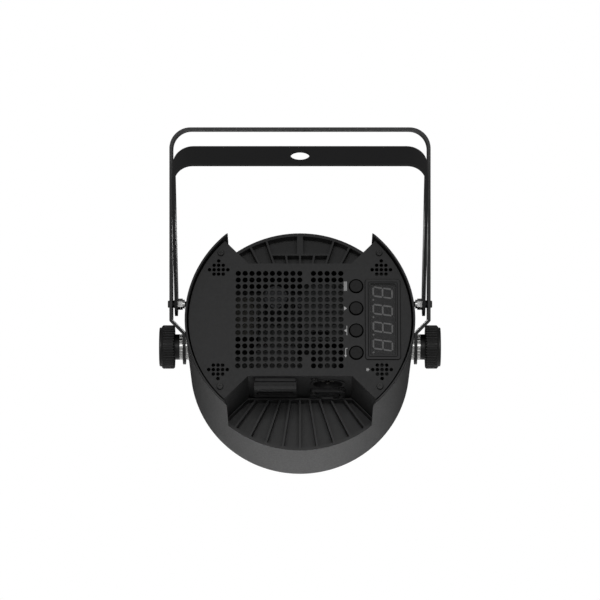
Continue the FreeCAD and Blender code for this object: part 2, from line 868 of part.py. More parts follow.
def build_rear_cover():
    depth = "drum_rear - panel_inset - floor_depth - face_gap * 2"
    outside = rod("cover_outside", "y", COVER_RADIUS, ("0", PANEL_FACE, "0"), depth)
    notches = notch("cover_notches", "0", "0", "drum_rear * 1.2")
    shell = cut("cover_shell", outside, notches)
    hollow = rod("cover_hollow", "y", "drum_radius * 1.1", ("0", PANEL_BACK, "0"), depth)
    walls = notch("cover_walls", "0 - panel_thick", "0 - 1", "drum_rear * 1.3")
    hollow = cut("cover_inside", hollow, walls)
    openings = [ventilation_holes()]
    for number in range(len(BUTTON_NAMES)):
        openings.append(rod("button_hole_%d" % number, "y", "button_hole",
                            ("button_across", PANEL_FACE + " - 1", button_up(number)),
                            "panel_thick + 2"))
    openings.append(rounded_plate("display_opening", "bezel_wide + bezel_seam * 2",
                                  "panel_thick + 4", "bezel_tall + bezel_seam * 2",
                                  read("bezel_corner") + read("bezel_seam"),
                                  ("display_across", PANEL_FACE, "0")))
    for tag, across, up in cover_corners():
        openings.append(rod("screw_hole_" + tag, "y", "screw_radius + loose_gap",
                            (across, PANEL_FACE + " - 1", up), "panel_thick + 2"))
    openings.append(box("inlet_opening",
                        (INLET_CORE_WIDE + " + loose_gap * 3", INLET_CORE_LONG + " + loose_gap * 3",
                         "panel_thick + 2"),
                        ("0 - inlet_across", PANEL_FACE + " + inlet_behind + inlet_long / 2",
                         "0 - notch_height + panel_thick / 2")))
    openings.append(rod("input_opening", "z", "input_barrel + loose_gap",
                        ("data_across", PANEL_FACE + " + input_behind",
                         "0 - notch_height - 1"), "panel_thick + 2"))
    openings.append(rod("output_opening", "z", "output_barrel + loose_gap",
                        ("data_across", PANEL_FACE + " + output_behind",
                         "0 - notch_height - 1"), "panel_thick + 2"))
    openings.append(box("latch_opening",
                        ("latch_wide + latch_clear * 2", "latch_tall + latch_clear * 2",
                         "panel_thick + 2"),
                        ("data_across", LATCH_MIDDLE, "0 - notch_height + panel_thick / 2")))
    openings += screw_holes("cover_input", input_screw_places(), "data_flange * 2 + panel_thick")
    openings += screw_holes("cover_output", output_screw_places(), "data_flange * 2 + panel_thick")
    cover = cut("rear_cover_cut", shell, hollow, *openings)
    keep("rear_cover", [cover])

    screws = []
    for tag, across, up in cover_corners():
        shank = rod("cover_shank_" + tag, "y", "screw_radius", (across, PANEL_FACE, up),
                    "cover_screw_long")
        head = cone("cover_head_" + tag, "y", "screw_head * 0.8", "screw_head",
                    (across, PANEL_FACE + " - screw_head_thick - face_gap", up),
                    "screw_head_thick")
        slot_place = (across, PANEL_FACE + " - screw_head_thick", up)
        slots = fuse("cover_slots_" + tag,
                     box("cover_slot_a_" + tag, ("slot_wide", "slot_deep * 2", "slot_long"),
                         slot_place),
                     box("cover_slot_b_" + tag, ("slot_long", "slot_deep * 2", "slot_wide"),
                         slot_place))
        neck = rod("cover_neck_" + tag, "y", "screw_radius",
                   (across, PANEL_FACE + " - face_gap * 2", up), "1")
        screws.append(cut("cover_screw_" + tag,
                          fuse("cover_screw_blank_" + tag, shank, neck, head), slots))
    keep("cover_screws", screws)


# ---------------------------------------------------------------- controls


def button_up(number):
    return "button_pitch * %s" % ((len(BUTTON_NAMES) - 1) / 2 - number)


def rounded_plate(name, wide, thick, tall, corner, middle):
    """A flat plate that faces -Y, with its four corners rounded."""
    plate = box(name + "_blank", (wide, thick, tall), middle)
    return rounded(name, plate, corner, edges_along("y"))


BOARD_FACE = PANEL_BACK + " + board_behind"
LATCH_MIDDLE = PANEL_FACE + " + output_behind + output_flange_long / 2 - latch_tall / 2 - latch_inset"


def build_display():
    corner = read("bezel_corner")
    rim = rounded_plate("bezel_rim", "bezel_wide", "panel_thick + bezel_proud + 1", "bezel_tall",
                        corner, ("display_across",
                                 PANEL_FACE + " + (panel_thick - bezel_proud + 1) / 2", "0"))
    flange = rounded_plate("bezel_flange_plate", "bezel_wide + bezel_flange * 2",
                           "bezel_flange_thick", "bezel_tall + bezel_flange * 2", corner,
                           ("display_across",
                            PANEL_BACK + " + face_gap + bezel_flange_thick / 2", "0"))
    hole = rounded_plate("bezel_hole", "bezel_wide - bezel_border * 2", "panel_thick * 8",
                         "bezel_tall - bezel_border * 2", read("window_corner"),
                         ("display_across", PANEL_FACE, "0"))
    groove_place = ("display_across", PANEL_FACE + " - bezel_proud", "0")
    groove_outer = rounded_plate("bezel_groove_outer", "bezel_wide - bezel_groove_inset * 2", "1",
                                 "bezel_tall - bezel_groove_inset * 2", read("groove_corner"),
                                 groove_place)
    groove_inner = box("bezel_groove_inner",
                       ("bezel_wide - (bezel_groove_inset + bezel_groove_wide) * 2", "2",
                        "bezel_tall - (bezel_groove_inset + bezel_groove_wide) * 2"), groove_place)
    groove = cut("bezel_groove", groove_outer, groove_inner)
    keep("display_bezel",
         [cut("display_bezel_cut", fuse("bezel_blank", rim, flange), hole, groove)])

    window = rounded_plate("window_plate", "bezel_wide - bezel_border * 2 - loose_gap",
                           "window_thick", "bezel_tall - bezel_border * 2 - loose_gap",
                           read("window_corner") - read("loose_gap") / 2,
                           ("display_across", PANEL_FACE + " + window_thick / 2 - window_proud",
                            "0"))
    keep("display_window", [window])

    module_face = "(" + PANEL_FACE + " + window_thick + loose_gap)"
    body = box("module_body", ("module_wide", "module_thick", "module_tall"),
               ("display_across", module_face + " + module_thick / 2", "0"))
    gap = BOARD_FACE + " - face_gap - " + module_face + " - module_thick"
    feet = []
    for side in (-1, 1):
        feet.append(box("module_foot_%d" % (side + 1),
                        ("module_foot", gap + " + 1", "module_tall - module_foot * 2"),
                        ("display_across + %d * (module_wide - module_foot) / 2" % side,
                         BOARD_FACE + " - face_gap - (%s + 1) / 2" % gap, "0")))
    keep("display_module", [fuse("module", body, *feet)])
    keep("display_digits", [digit_segments()])


def digit_segments():
    """Four seven-bar digits with their points, upright toward +X, as thin plates."""
    tall = read("digit_tall")
    wide = read("digit_wide")
    stroke = read("digit_stroke")
    slant = math.tan(math.radians(read("digit_slant")))
    gap = 0.25
    thick = 0.12
    point_radius = 0.6 * stroke
    point_shift = 1.7 * stroke
    centring = 0.8
    face = -read("drum_rear") + read("panel_inset") + read("window_thick") + read("loose_gap")
    half_up = (tall - stroke) / 2
    half_across = (wide - stroke) / 2

    def plate(corners, middle):
        points = []
        for across, up in corners:
            points.append(Vector(read("display_across") + up, face - thick - 0.01,
                                 middle - across - up * slant))
        points.append(points[0])
        return Part.Face(Part.makePolygon(points)).extrude(Vector(0, thick, 0))

    def level_bar(up, middle):
        half = half_across - gap
        edge = stroke / 2
        corners = [(-half, up), (-half + edge, up + edge), (half - edge, up + edge), (half, up),
                   (half - edge, up - edge), (-half + edge, up - edge)]
        return plate(corners, middle)

    def upright_bar(across, low, high, middle):
        edge = stroke / 2
        corners = [(across, low + gap), (across + edge, low + gap + edge),
                   (across + edge, high - gap - edge), (across, high - gap),
                   (across - edge, high - gap - edge), (across - edge, low + gap + edge)]
        return plate(corners, middle)

    bars = []
    for number in range(DIGITS):
        middle = ((DIGITS - 1) / 2 - number) * read("digit_pitch") + centring
        for up in (-half_up, 0, half_up):
            bars.append(level_bar(up, middle))
        for across in (-half_across, half_across):
            bars.append(upright_bar(across, -half_up, 0, middle))
            bars.append(upright_bar(across, 0, half_up, middle))
        point = Vector(read("display_across") - half_up, face - thick - 0.01,
                       middle - half_across - point_shift)
        bars.append(Part.makeCylinder(point_radius, thick, point, Y_AXIS))
    digits = doc.addObject("Part::Feature", "digit_bars")
    digits.Shape = Part.makeCompound(bars)
    return digits


def build_buttons():
    flange = PANEL_BACK + " + face_gap * 2"
    outer_face = read("panel_inset") - read("drum_rear") - read("button_proud")
    for number, name in enumerate(BUTTON_NAMES):
        up = button_up(number)
        cap = rod(name + "_cap", "y", "button_radius",
                  ("button_across", PANEL_FACE + " - button_proud", up),
                  "panel_thick + button_proud + brim_thick / 2")
        cap = rounded(name + "_cap_rounded", cap, read("button_round"),
                      edges_at("y", outer_face))
        brim = rod(name + "_brim", "y", "button_hole + brim_lip", ("button_across", flange, up),
                   "brim_thick")
        stem = rod(name + "_stem", "y", "stem_radius", ("button_across", flange, up),
                   "board_behind - switch_tall - face_gap * 2 - button_travel - loose_gap")
        keep(name, [fuse(name + "_body", cap, brim, stem)])
    switches = []
    for number in range(len(BUTTON_NAMES)):
        up = button_up(number)
        case = box("switch_case_%d" % number, ("switch_case", "switch_case_deep", "switch_case"),
                   ("button_across", BOARD_FACE + " - face_gap - switch_case_deep / 2", up))
        plunger = rod("switch_plunger_%d" % number, "y", "plunger_radius",
                      ("button_across", BOARD_FACE + " - switch_tall", up), "switch_tall / 2")
        switches.append(fuse("switch_%d" % number, case, plunger))
    keep("button_switches", switches)


PILLAR_PLACES = (("26", "27"), ("62", "34"), ("36", "-34"))
CHIP_PLACE = ("18", "14")
PLUG_SIZE = ("12", "8", "6")
PLUG_PLACE = ("14", "-4")


def board_screws(prefix, places, seat):
    """Small screws that hold a board, their heads on the seat and their shanks toward +Y."""
    screws = []
    for number, (across, up) in enumerate(places):
        head = rod("%s_head_%d" % (prefix, number), "y", "small_head",
                   (across, seat + " - small_head_thick - face_gap", up), "small_head_thick")
        shank = rod("%s_shank_%d" % (prefix, number), "y", "small_shank",
                    (across, seat + " - 1", up), "small_shank_long")
        screws.append(fuse("%s_%d" % (prefix, number), head, shank))
    return screws


def board_pillars(prefix, places, start, length):
    """Round pillars with a threaded bore in the end that faces the rear."""
    pillars = []
    for number, (across, up) in enumerate(places):
        blank = rod("%s_blank_%d" % (prefix, number), "y", "pillar_radius", (across, start, up),
                    length)
        bore = rod("%s_bore_%d" % (prefix, number), "y", "pillar_bore", (across, start + " - 1", up),
                   "pillar_bore_deep")
        pillars.append(cut("%s_%d" % (prefix, number), blank, bore))
    return pillars


def build_control_board():
    middle = BOARD_FACE + " + board_thick / 2"
    plate = box("board_plate", ("board_wide", "board_thick", "board_tall"),
                ("board_across", middle, "0"))
    tongue = box("board_tongue", ("tongue_wide", "board_thick", "tongue_tall"),
                 ("tongue_across", middle, "tongue_up"))
    chip = box("control_chip", ("chip_side", "chip_thick", "chip_side"),
               (CHIP_PLACE[0], BOARD_FACE + " - chip_thick / 2 - face_gap", CHIP_PLACE[1]))
    socket = box("data_socket", PLUG_SIZE,
                 (PLUG_PLACE[0], BOARD_FACE + " - %s / 2 - face_gap" % PLUG_SIZE[1], PLUG_PLACE[1]))
    holes = [rod("board_hole_%d" % number, "y", "small_hole", (across, BOARD_FACE + " - 1", up),
                 "board_thick + 2")
             for number, (across, up) in enumerate(PILLAR_PLACES)]
    board = cut("control_board_cut", fuse("control_board_blank", plate, tongue), *holes)
    keep("control_board", [board])
    keep("control_parts", [chip, socket])
    reach = BOARD_FACE + " + board_thick + face_gap"
    keep("board_pillars", board_pillars("pillar", PILLAR_PLACES, reach,
                                        "0 - floor_depth - face_gap - (%s)" % reach))
    keep("board_screws", board_screws("board_screw", PILLAR_PLACES, BOARD_FACE))
    capsule = rod("microphone_capsule", "y", "capsule_radius",
                  ("corner_vent_across", PANEL_BACK + " + 1.5",
                   "0 - corner_vent_up + capsule_radius"), "capsule_long")
    keep("microphone", [capsule])


# ---------------------------------------------------------------- mains inlet

WALL_FACE = "(0 - notch_height)"
WALL_BACK = "(panel_thick - notch_height)"


def build_inlet():
    middle_y = PANEL_FACE + " + inlet_behind + inlet_long / 2"
    flange = box("inlet_flange_blank", ("inlet_wide", "inlet_long", "inlet_flange"),
                 ("0 - inlet_across", middle_y, WALL_FACE + " - face_gap - inlet_flange / 2"))
    flange = rounded("inlet_flange_round", flange, read("inlet_corner"), edges_along("z"))
    core = box("inlet_core", (INLET_CORE_WIDE, INLET_CORE_LONG, "inlet_deep"),
               ("0 - inlet_across", middle_y, WALL_FACE + " - face_gap * 2 + inlet_deep / 2"))
    corner = "socket_tall * 0.3"
    socket = prism("inlet_socket", "XY_Plane", [
        ("socket_wide / 2", "socket_tall / 2"),
        ("socket_wide / 2", "0 - socket_tall / 2 + " + corner),
        ("socket_wide / 2 - " + corner, "0 - socket_tall / 2"),
        ("0 - socket_wide / 2 + " + corner, "0 - socket_tall / 2"),
        ("0 - socket_wide / 2", "0 - socket_tall / 2 + " + corner),
        ("0 - socket_wide / 2", "socket_tall / 2"),
    ], "socket_deep + 1", ("0 - inlet_across", SOCKET_MIDDLE,
                           WALL_FACE + " - inlet_flange + (socket_deep - 1) / 2"))
    rebate = box("inlet_rebate", ("socket_wide + 2", "socket_tall + 3", "socket_rebate * 2"),
                 ("0 - inlet_across", SOCKET_MIDDLE, WALL_FACE + " - inlet_flange - face_gap"))
    chamber = box("drawer_chamber", ("drawer_wide", "drawer_tall", "inlet_deep"),
                  ("0 - inlet_across", DRAWER_MIDDLE,
                   WALL_FACE + " - inlet_flange - 1 + inlet_deep / 2"))
    holes = [box("pin_hole_%d" % number,
                 ("blade_wide + blade_clear * 2", "blade_long + blade_clear * 2", "inlet_deep * 2"),
                 (across, along, WALL_FACE + " + inlet_deep / 2"))
             for number, (across, along) in enumerate(inlet_pin_places())]
    inlet = cut("power_inlet_cut", fuse("inlet_blank", flange, core), socket, rebate, chamber,
                *holes)
    keep("power_inlet", [inlet])
    pins = []
    for number, (across, along) in enumerate(inlet_pin_places()):
        pins.append(box("inlet_pin_%d" % number, ("blade_wide", "blade_long", "inlet_deep + 2"),
                        (across, along, WALL_FACE + " + inlet_deep / 2 + 3")))
    keep("inlet_pins", pins)

    tray = box("drawer_tray",
               ("drawer_wide - loose_gap * 2", "drawer_tall - loose_gap * 2", "drawer_deep"),
               ("0 - inlet_across", DRAWER_MIDDLE, WALL_FACE + " - inlet_flange + drawer_deep / 2"))
    lip_top = WALL_FACE + " - inlet_flange - face_gap * 3"
    lip_rear = DRAWER_MIDDLE + " - drawer_tall / 2"
    lip = box("drawer_lip_blank", ("drawer_lip_wide", "drawer_lip_long", "drawer_lip"),
              ("0 - inlet_across", lip_rear + " + drawer_lip_long / 2",
               lip_top + " - drawer_lip / 2"))
    ridges = [box("drawer_ridge_%d" % number,
                  ("drawer_lip_wide + 2", "drawer_ridge * 2", "drawer_ridge"),
                  ("0 - inlet_across", lip_rear,
                   lip_top + " - drawer_ridge * %.1f" % (1.5 + 2 * number)))
              for number in range(DRAWER_RIDGES)]
    link = box("drawer_neck",
               ("drawer_wide - loose_gap * 2", "drawer_tall - loose_gap * 2", "1"),
               ("0 - inlet_across", DRAWER_MIDDLE, WALL_FACE + " - inlet_flange"))
    trough = rod("drawer_trough", "x", "fuse_radius + loose_gap",
                 ("0 - inlet_across - fuse_long / 2 - loose_gap", DRAWER_MIDDLE, FUSE_UP),
                 "fuse_long + loose_gap * 2")
    mouth = box("drawer_mouth",
                ("fuse_long + loose_gap * 2", "drawer_tall", "fuse_radius * 2 + loose_gap * 2"),
                ("0 - inlet_across", DRAWER_MIDDLE + " + drawer_tall / 2", FUSE_UP))
    drawer = cut("fuse_drawer_cut", fuse("drawer_blank", tray, lip, link), trough, mouth,
                 *ridges)
    keep("fuse_drawer", [drawer])
    glass = rod("fuse_glass", "x", "fuse_radius - 0.1",
                ("0 - inlet_across - fuse_long / 2", DRAWER_MIDDLE, FUSE_UP), "fuse_long")
    keep("fuse", [glass])


SOCKET_SHARE = 0.66
SOCKET_MIDDLE = PANEL_FACE + " + inlet_behind + inlet_long * %.2f" % SOCKET_SHARE
DRAWER_MIDDLE = PANEL_FACE + " + inlet_behind + drawer_tall / 2 + 2.6"
FUSE_UP = WALL_FACE + " + drawer_deep * 0.45"


def inlet_pin_places():
    """Across and along places of the live, neutral and earth blades."""
    middle = "0 - inlet_across"
    return [
        (middle + " - blade_spread", SOCKET_MIDDLE + " - blade_stagger"),
        (middle + " + blade_spread", SOCKET_MIDDLE + " - blade_stagger"),
        (middle, SOCKET_MIDDLE + " + blade_stagger"),
    ]


# ---------------------------------------------------------------- data connectors


def pin_places(behind, toward):
    """Three contacts on a circle, the third one on the far side from the key."""
    places = []
    for degrees in (90 * toward, 90 * toward + 120, 90 * toward + 240):
        turn = math.radians(degrees)
        places.append(("data_across + %.6f * data_pin_circle" % math.cos(turn),
                       PANEL_FACE + " + (%s) + %.6f * data_pin_circle" % (behind, math.sin(turn))))
    return places


def connector_screws(prefix, places, seat):
    """Flat-headed screws through a connector's flange, under a seat at the given height."""
    screws = []
    for number, (across, along) in enumerate(places):
        bottom = seat + " - face_gap * 2 - flange_head_thick"
        head = rod("%s_screw_head_%d" % (prefix, number), "z", "flange_head",
                   (across, along, bottom), "flange_head_thick")
        shank = rod("%s_screw_shank_%d" % (prefix, number), "z", "flange_shank",
                    (across, along, bottom + " + flange_head_thick / 2"), "flange_shank_long")
        slot = box("%s_screw_slot_%d" % (prefix, number),
                   ("flange_slot_long", "flange_slot_wide", "flange_slot_deep * 2"),
                   (across, along, bottom))
        cross = box("%s_screw_cross_%d" % (prefix, number),
                    ("flange_slot_wide", "flange_slot_long", "flange_slot_deep * 2"),
                    (across, along, bottom))
        blank = fuse("%s_screw_blank_%d" % (prefix, number), head, shank)
        screws.append(cut("%s_screw_%d" % (prefix, number), blank, slot, cross))
    return screws


def screw_holes(prefix, places, reach):
    return [rod("%s_hole_%d" % (prefix, number), "z", "flange_shank + running_gap",
                (across, along, WALL_FACE + " - data_flange * 2"), reach)
            for number, (across, along) in enumerate(places)]


def build_data_input():
    centre = PANEL_FACE + " + input_behind"
    flange = box("input_flange_blank", ("input_flange_wide", "input_flange_long", "data_flange"),
                 ("data_across", centre, WALL_BACK + " + face_gap + data_flange / 2"))
    flange = rounded("input_flange_round", flange, read("input_corner"), edges_along("z"))
    barrel = rod("input_barrel_blank", "z", "input_barrel",
                 ("data_across", centre, WALL_FACE + " - input_proud"),
                 "input_proud + data_flange + data_deep")
    cavity = rod("input_cavity_bore", "z", "input_cavity",
                 ("data_across", centre, WALL_FACE + " - data_flange - 1"), "data_deep + 1")
    key = box("input_key", ("key_wide", "key_wide", "data_deep - key_wide"),
              ("data_across", centre + " + input_cavity - 0.6",
               WALL_FACE + " + data_deep / 2"))
    corners = input_screw_places()
    pin_holes = [rod("input_pin_hole_%d" % number, "z", "data_pin + running_gap",
                     (across, along, WALL_FACE), "data_deep * 2")
                 for number, (across, along) in enumerate(pin_places("input_behind", 1))]
    body = cut("input_bored", fuse("input_blank", flange, barrel), cavity)
    body = cut("input_cut", fuse("input_keyed", body, key), *pin_holes,
               *screw_holes("input_screw", corners, "data_flange * 4 + panel_thick"))
    keep("dmx_input", [body])
    pins = [rod("input_pin_%d" % number, "z", "data_pin", (across, along, WALL_FACE + " + 1"),
                "data_deep + 2")
            for number, (across, along) in enumerate(pin_places("input_behind", 1))]
    keep("dmx_input_pins", pins)


def flange_corners(behind, wide, long, inset_across, inset_along):
    """The places of two screws in opposite corners of a connector's flange."""
    centre = PANEL_FACE + " + " + behind
    across = "(%s / 2 - %s)" % (wide, inset_across)
    along = "(%s / 2 - %s)" % (long, inset_along)
    return [("data_across + %d * %s" % (sign, across), centre + " + %d * %s" % (sign, along))
            for sign in (-1, 1)]


def input_screw_places():
    return flange_corners("input_behind", "input_flange_wide", "input_flange_long",
                          "input_screw_inset", "input_screw_inset")


def output_screw_places():
    return flange_corners("output_behind", "output_flange_wide", "output_flange_long",
                          "output_screw_inset", "output_screw_margin")


def build_data_output():
    centre = PANEL_FACE + " + output_behind"
    flange = box("output_flange_blank",
                 ("output_flange_wide", "output_flange_long", "data_flange"),
                 ("data_across", centre, WALL_FACE + " - face_gap - data_flange / 2"))
    flange = rounded("output_flange_round", flange, read("output_corner"), edges_along("z"))
    barrel = rod("output_barrel_blank", "z", "output_barrel",
                 ("data_across", centre, WALL_FACE + " - data_flange"), "data_flange + data_deep")
    slot_outer = rod("output_slot_outer", "z", "output_slot",
                     ("data_across", centre, WALL_FACE + " - data_flange - 1"), "data_deep - 2")
    slot_inner = rod("output_slot_inner", "z", "output_plug",
                     ("data_across", centre, WALL_FACE + " - data_flange - 2"), "data_deep + 2")
    slot = cut("output_slot_ring", slot_outer, slot_inner)
    contact_holes = [rod("output_hole_%d" % number, "z", "data_pin + 0.35",
                         (across, along, WALL_FACE + " - data_flange - 1"), "data_deep * 2")
                     for number, (across, along) in enumerate(pin_places("output_behind", -1))]
    latch_way = box("latch_way", ("latch_wide + loose_gap * 2", "latch_tall + loose_gap * 2", "60"),
                    ("data_across", LATCH_MIDDLE, WALL_FACE))
    body = cut("output_cut", fuse("output_blank", flange, barrel), slot, latch_way,
               *contact_holes, *screw_holes("output_screw", output_screw_places(),
                                            "data_flange * 2"))
    keep("dmx_output", [body])
    contacts = []
    for number, (across, along) in enumerate(pin_places("output_behind", -1)):
        sleeve = rod("output_contact_%d" % number, "z", "data_pin + 0.25",
                     (across, along, WALL_FACE + " + 0.5"), "data_deep + 1")
        bore = rod("output_contact_bore_%d" % number, "z", "data_pin - 0.2",
                   (across, along, WALL_FACE + " - 1"),
                   "data_deep * 0.7")
        contacts.append(cut("output_contact_cut_%d" % number, sleeve, bore))
    keep("dmx_output_contacts", contacts)
    latch = box("latch_blank", ("latch_wide", "latch_tall", "data_flange + latch_reach"),
                ("data_across", LATCH_MIDDLE,
                 WALL_FACE + " - latch_proud + (latch_reach - data_flange) / 2"))
    keep("release_latch", [latch])
    keep("connector_screws", connector_screws("input", input_screw_places(), WALL_FACE)
         + connector_screws("output", output_screw_places(), WALL_FACE + " - data_flange"))


# ---------------------------------------------------------------- power supply


SUPPLY_FACE = "(0 - floor_depth - supply_rise)"
SUPPLY_PLACES = (("-47", "29"), ("17", "29"), ("-47", "-29"), ("17", "-17"))
# across, up, radius and height of each
CAPACITORS = (("-17", "19", "8", "46"), ("1", "23", "5", "22"), ("13", "14", "4", "16"))


def on_supply(name, size, across, up):
    """A box that stands on the supply board; its height is the middle one of its sizes."""
    place = (across, SUPPLY_FACE + " - board_thick - face_gap - %s / 2" % size[1], up)
    return box(name, size, place)


def build_power_supply():
    board = box("supply_board_blank", ("supply_wide", "board_thick", "supply_tall"),
                ("0 - supply_across", SUPPLY_FACE + " - board_thick / 2", "0"))
    holes = [rod("supply_hole_%d" % number, "y", "small_hole",
                 (across, SUPPLY_FACE + " - board_thick - 1", up), "board_thick + 2")
             for number, (across, up) in enumerate(SUPPLY_PLACES)]
    lead_way = rod("supply_lead_hole", "y", "supply_lead_way",
                   ("lead_across", SUPPLY_FACE + " - board_thick - 1", "0"), "board_thick + 2")
    keep("supply_board", [cut("supply_board_cut", board, lead_way, *holes)])
    keep("transformer", [fuse("transformer_body",
                              on_supply("transformer_core", ("12", "46", "30"), "-38.5", "5"),
                              on_supply("transformer_coil", ("18", "34", "22"), "-38.5", "5"))])
    top = SUPPLY_FACE + " - board_thick - face_gap"
    keep("capacitors", [rod("capacitor_%d" % number, "y", radius,
                            (across, top + " - " + tall, up), tall)
                        for number, (across, up, radius, tall) in enumerate(CAPACITORS)])
    keep("supply_heat_sink", [on_supply("supply_sink", ("4", "30", "26"), "-1", "0")])
    keep("supply_standoffs", board_pillars("standoff", SUPPLY_PLACES, SUPPLY_FACE + " + face_gap",
                                           "supply_rise - face_gap * 2"))
    keep("supply_screws", board_screws("supply_screw", SUPPLY_PLACES,
                                       SUPPLY_FACE + " - board_thick"))


# ---------------------------------------------------------------- light engine


def lens_places():
    places = []
    for number in range(INNER_LENSES):
        places.append(polar(read("lens_inner_circle"), 360 / INNER_LENSES * number))
    for number in range(OUTER_LENSES):
        places.append(polar(read("lens_outer_circle"), 360 / OUTER_LENSES * (number + 0.5)))
    return places


def build_light_engine():
    back = "(floor_thick - floor_depth + face_gap)"
    base = rod("sink_base_disc", "y", "sink_radius", ("0", "sink_front - sink_base", "0"),
               "sink_base")
    fins = []
    fin_count = 6
    for number in range(-fin_count, fin_count + 1):
        fins.append(box("fin_%d" % (number + fin_count),
                        ("fin_thick", "sink_front - sink_base + 1 - " + back, "sink_radius * 2"),
                        ("fin_pitch * %d" % number,
                         "(sink_front - sink_base + 1 + " + back + ") / 2", "0")))
    limit = rod("fin_limit", "y", "sink_radius - 1", ("0", back, "0"), "sink_front")
    lead_hole = rod("sink_lead_hole", "y", "lead_way", ("lead_across", "0 - sink_front", "0"),
                    "sink_front * 3")
    sink = fuse("sink_blank", base, common("fins", compound("fin_set", fins), limit))
    keep("heat_sink", [cut("heat_sink_cut", sink, lead_hole)])

    board_face = "(sink_front + face_gap + board_thick)"
    board = rod("led_board_disc", "y", "sink_radius + board_margin",
                ("0", "sink_front + face_gap", "0"), "board_thick")
    board_hole = rod("led_board_hole", "y", "lead_way", ("lead_across", "0", "0"),
                     "sink_front * 3")
    keep("led_board", [cut("led_board_cut", board, board_hole)])
    emitters = []
    lenses = []
    holes = []
    for number, (across, up) in enumerate(lens_places()):
        place = ("%.6f" % across, "%.6f" % up)
        emitters.append(box("emitter_%d" % number, ("emitter_side", "emitter_thick", "emitter_side"),
                            (place[0], board_face + " + face_gap + emitter_thick / 2", place[1])))
        lenses.append(cone("lens_%d" % number, "y", "lens_radius * 0.35", "lens_radius",
                           (place[0], board_face + " + lens_lift", place[1]), "lens_height"))
        holes.append(rod("lens_hole_%d" % number, "y", "lens_radius + running_gap * 2",
                         (place[0], board_face, place[1]), "lens_height * 2"))
    keep("led_emitters", emitters)
    keep("lenses", lenses)
    plate = rod("holder_plate", "y", "sink_radius + holder_margin",
                ("0", board_face + " + lens_height - holder_plate", "0"), "holder_plate")
    skirt = rod("holder_skirt", "y", "sink_radius + holder_margin",
                ("0", board_face + " + face_gap", "0"), "lens_height - face_gap")
    skirt_inside = rod("holder_inside", "y", "sink_radius + holder_margin - holder_wall",
                       ("0", board_face + " - 1", "0"), "lens_height - holder_plate + 2")
    holder = fuse("holder_blank", plate, cut("holder_ring", skirt, skirt_inside))
    keep("lens_holder", [cut("lens_holder_cut", holder, *holes)])


def build_front():
    ring_front = "(drum_front - bezel_ring_thick)"
    cover = rod("front_cover_disc", "y", "window_radius",
                ("0", ring_front + " - gasket_thick - lens_cover_thick + face_gap", "0"),
                "lens_cover_thick - face_gap * 2")
    keep("front_window", [cover])
    gasket_outer = rod("gasket_outer", "y", "window_radius",
                       ("0", ring_front + " - gasket_thick", "0"), "gasket_thick - face_gap")
    gasket_inner = rod("gasket_inner", "y", "window_radius - seat_wide",
                       ("0", ring_front + " - gasket_thick * 2", "0"), "gasket_thick * 4")
    keep("window_gasket", [cut("gasket", gasket_outer, gasket_inner)])
    ring = rod("front_ring", "y", "drum_radius", ("0", ring_front + " + face_gap * 2", "0"),
               "bezel_ring_thick - face_gap * 2")
    ring = rounded("front_ring_rounded", ring, read("bezel_round"),
                   edges_at("y", read("drum_front")))
    opening = rod("front_ring_opening", "y", "bezel_ring_inner", ("0", "0", "0"),
                  "drum_front * 2")
    holes = []
    screws = []
    head_seat = "drum_front - head_sunk"
    for number, (across, up) in enumerate(bezel_screw_places()):
        holes.append(rod("bezel_hole_%d" % number, "y", "screw_radius + loose_gap",
                         (across, ring_front + " - 1", up), "bezel_ring_thick + 2"))
        holes.append(rod("bezel_sink_%d" % number, "y", "screw_head + loose_gap",
                         (across, head_seat, up), "head_sunk + 1"))
        head = rod("bezel_screw_head_%d" % number, "y", "screw_head",
                   (across, head_seat + " + face_gap", up), "screw_head_thick")
        shank = rod("bezel_screw_shank_%d" % number, "y", "screw_radius",
                    (across, "drum_front - bezel_screw_long", up),
                    "bezel_screw_long - head_sunk + 1")
        screws.append(fuse("bezel_screw_%d" % number, head, shank))
    keep("front_bezel", [cut("front_bezel_cut", ring, opening, *holes)])
    keep("bezel_screws", screws)


# ---------------------------------------------------------------- tilt knobs

LEG_OUTER = "(outer_half_width - jog_inset)"
LEG_INNER = "(outer_half_width - jog_inset - strap_thick)"


def pierced_disc(name, radius, start, thick):
    """A washer around the tilt axis."""
    disc = rod(name + "_disc", "x", radius, (start, "0", "0"), thick)
    hole = rod(name + "_hole", "x", "stud_radius + loose_gap", (start + " - 1", "0", "0"),
               "(%s) + 2" % thick)
    return cut(name, disc, hole)


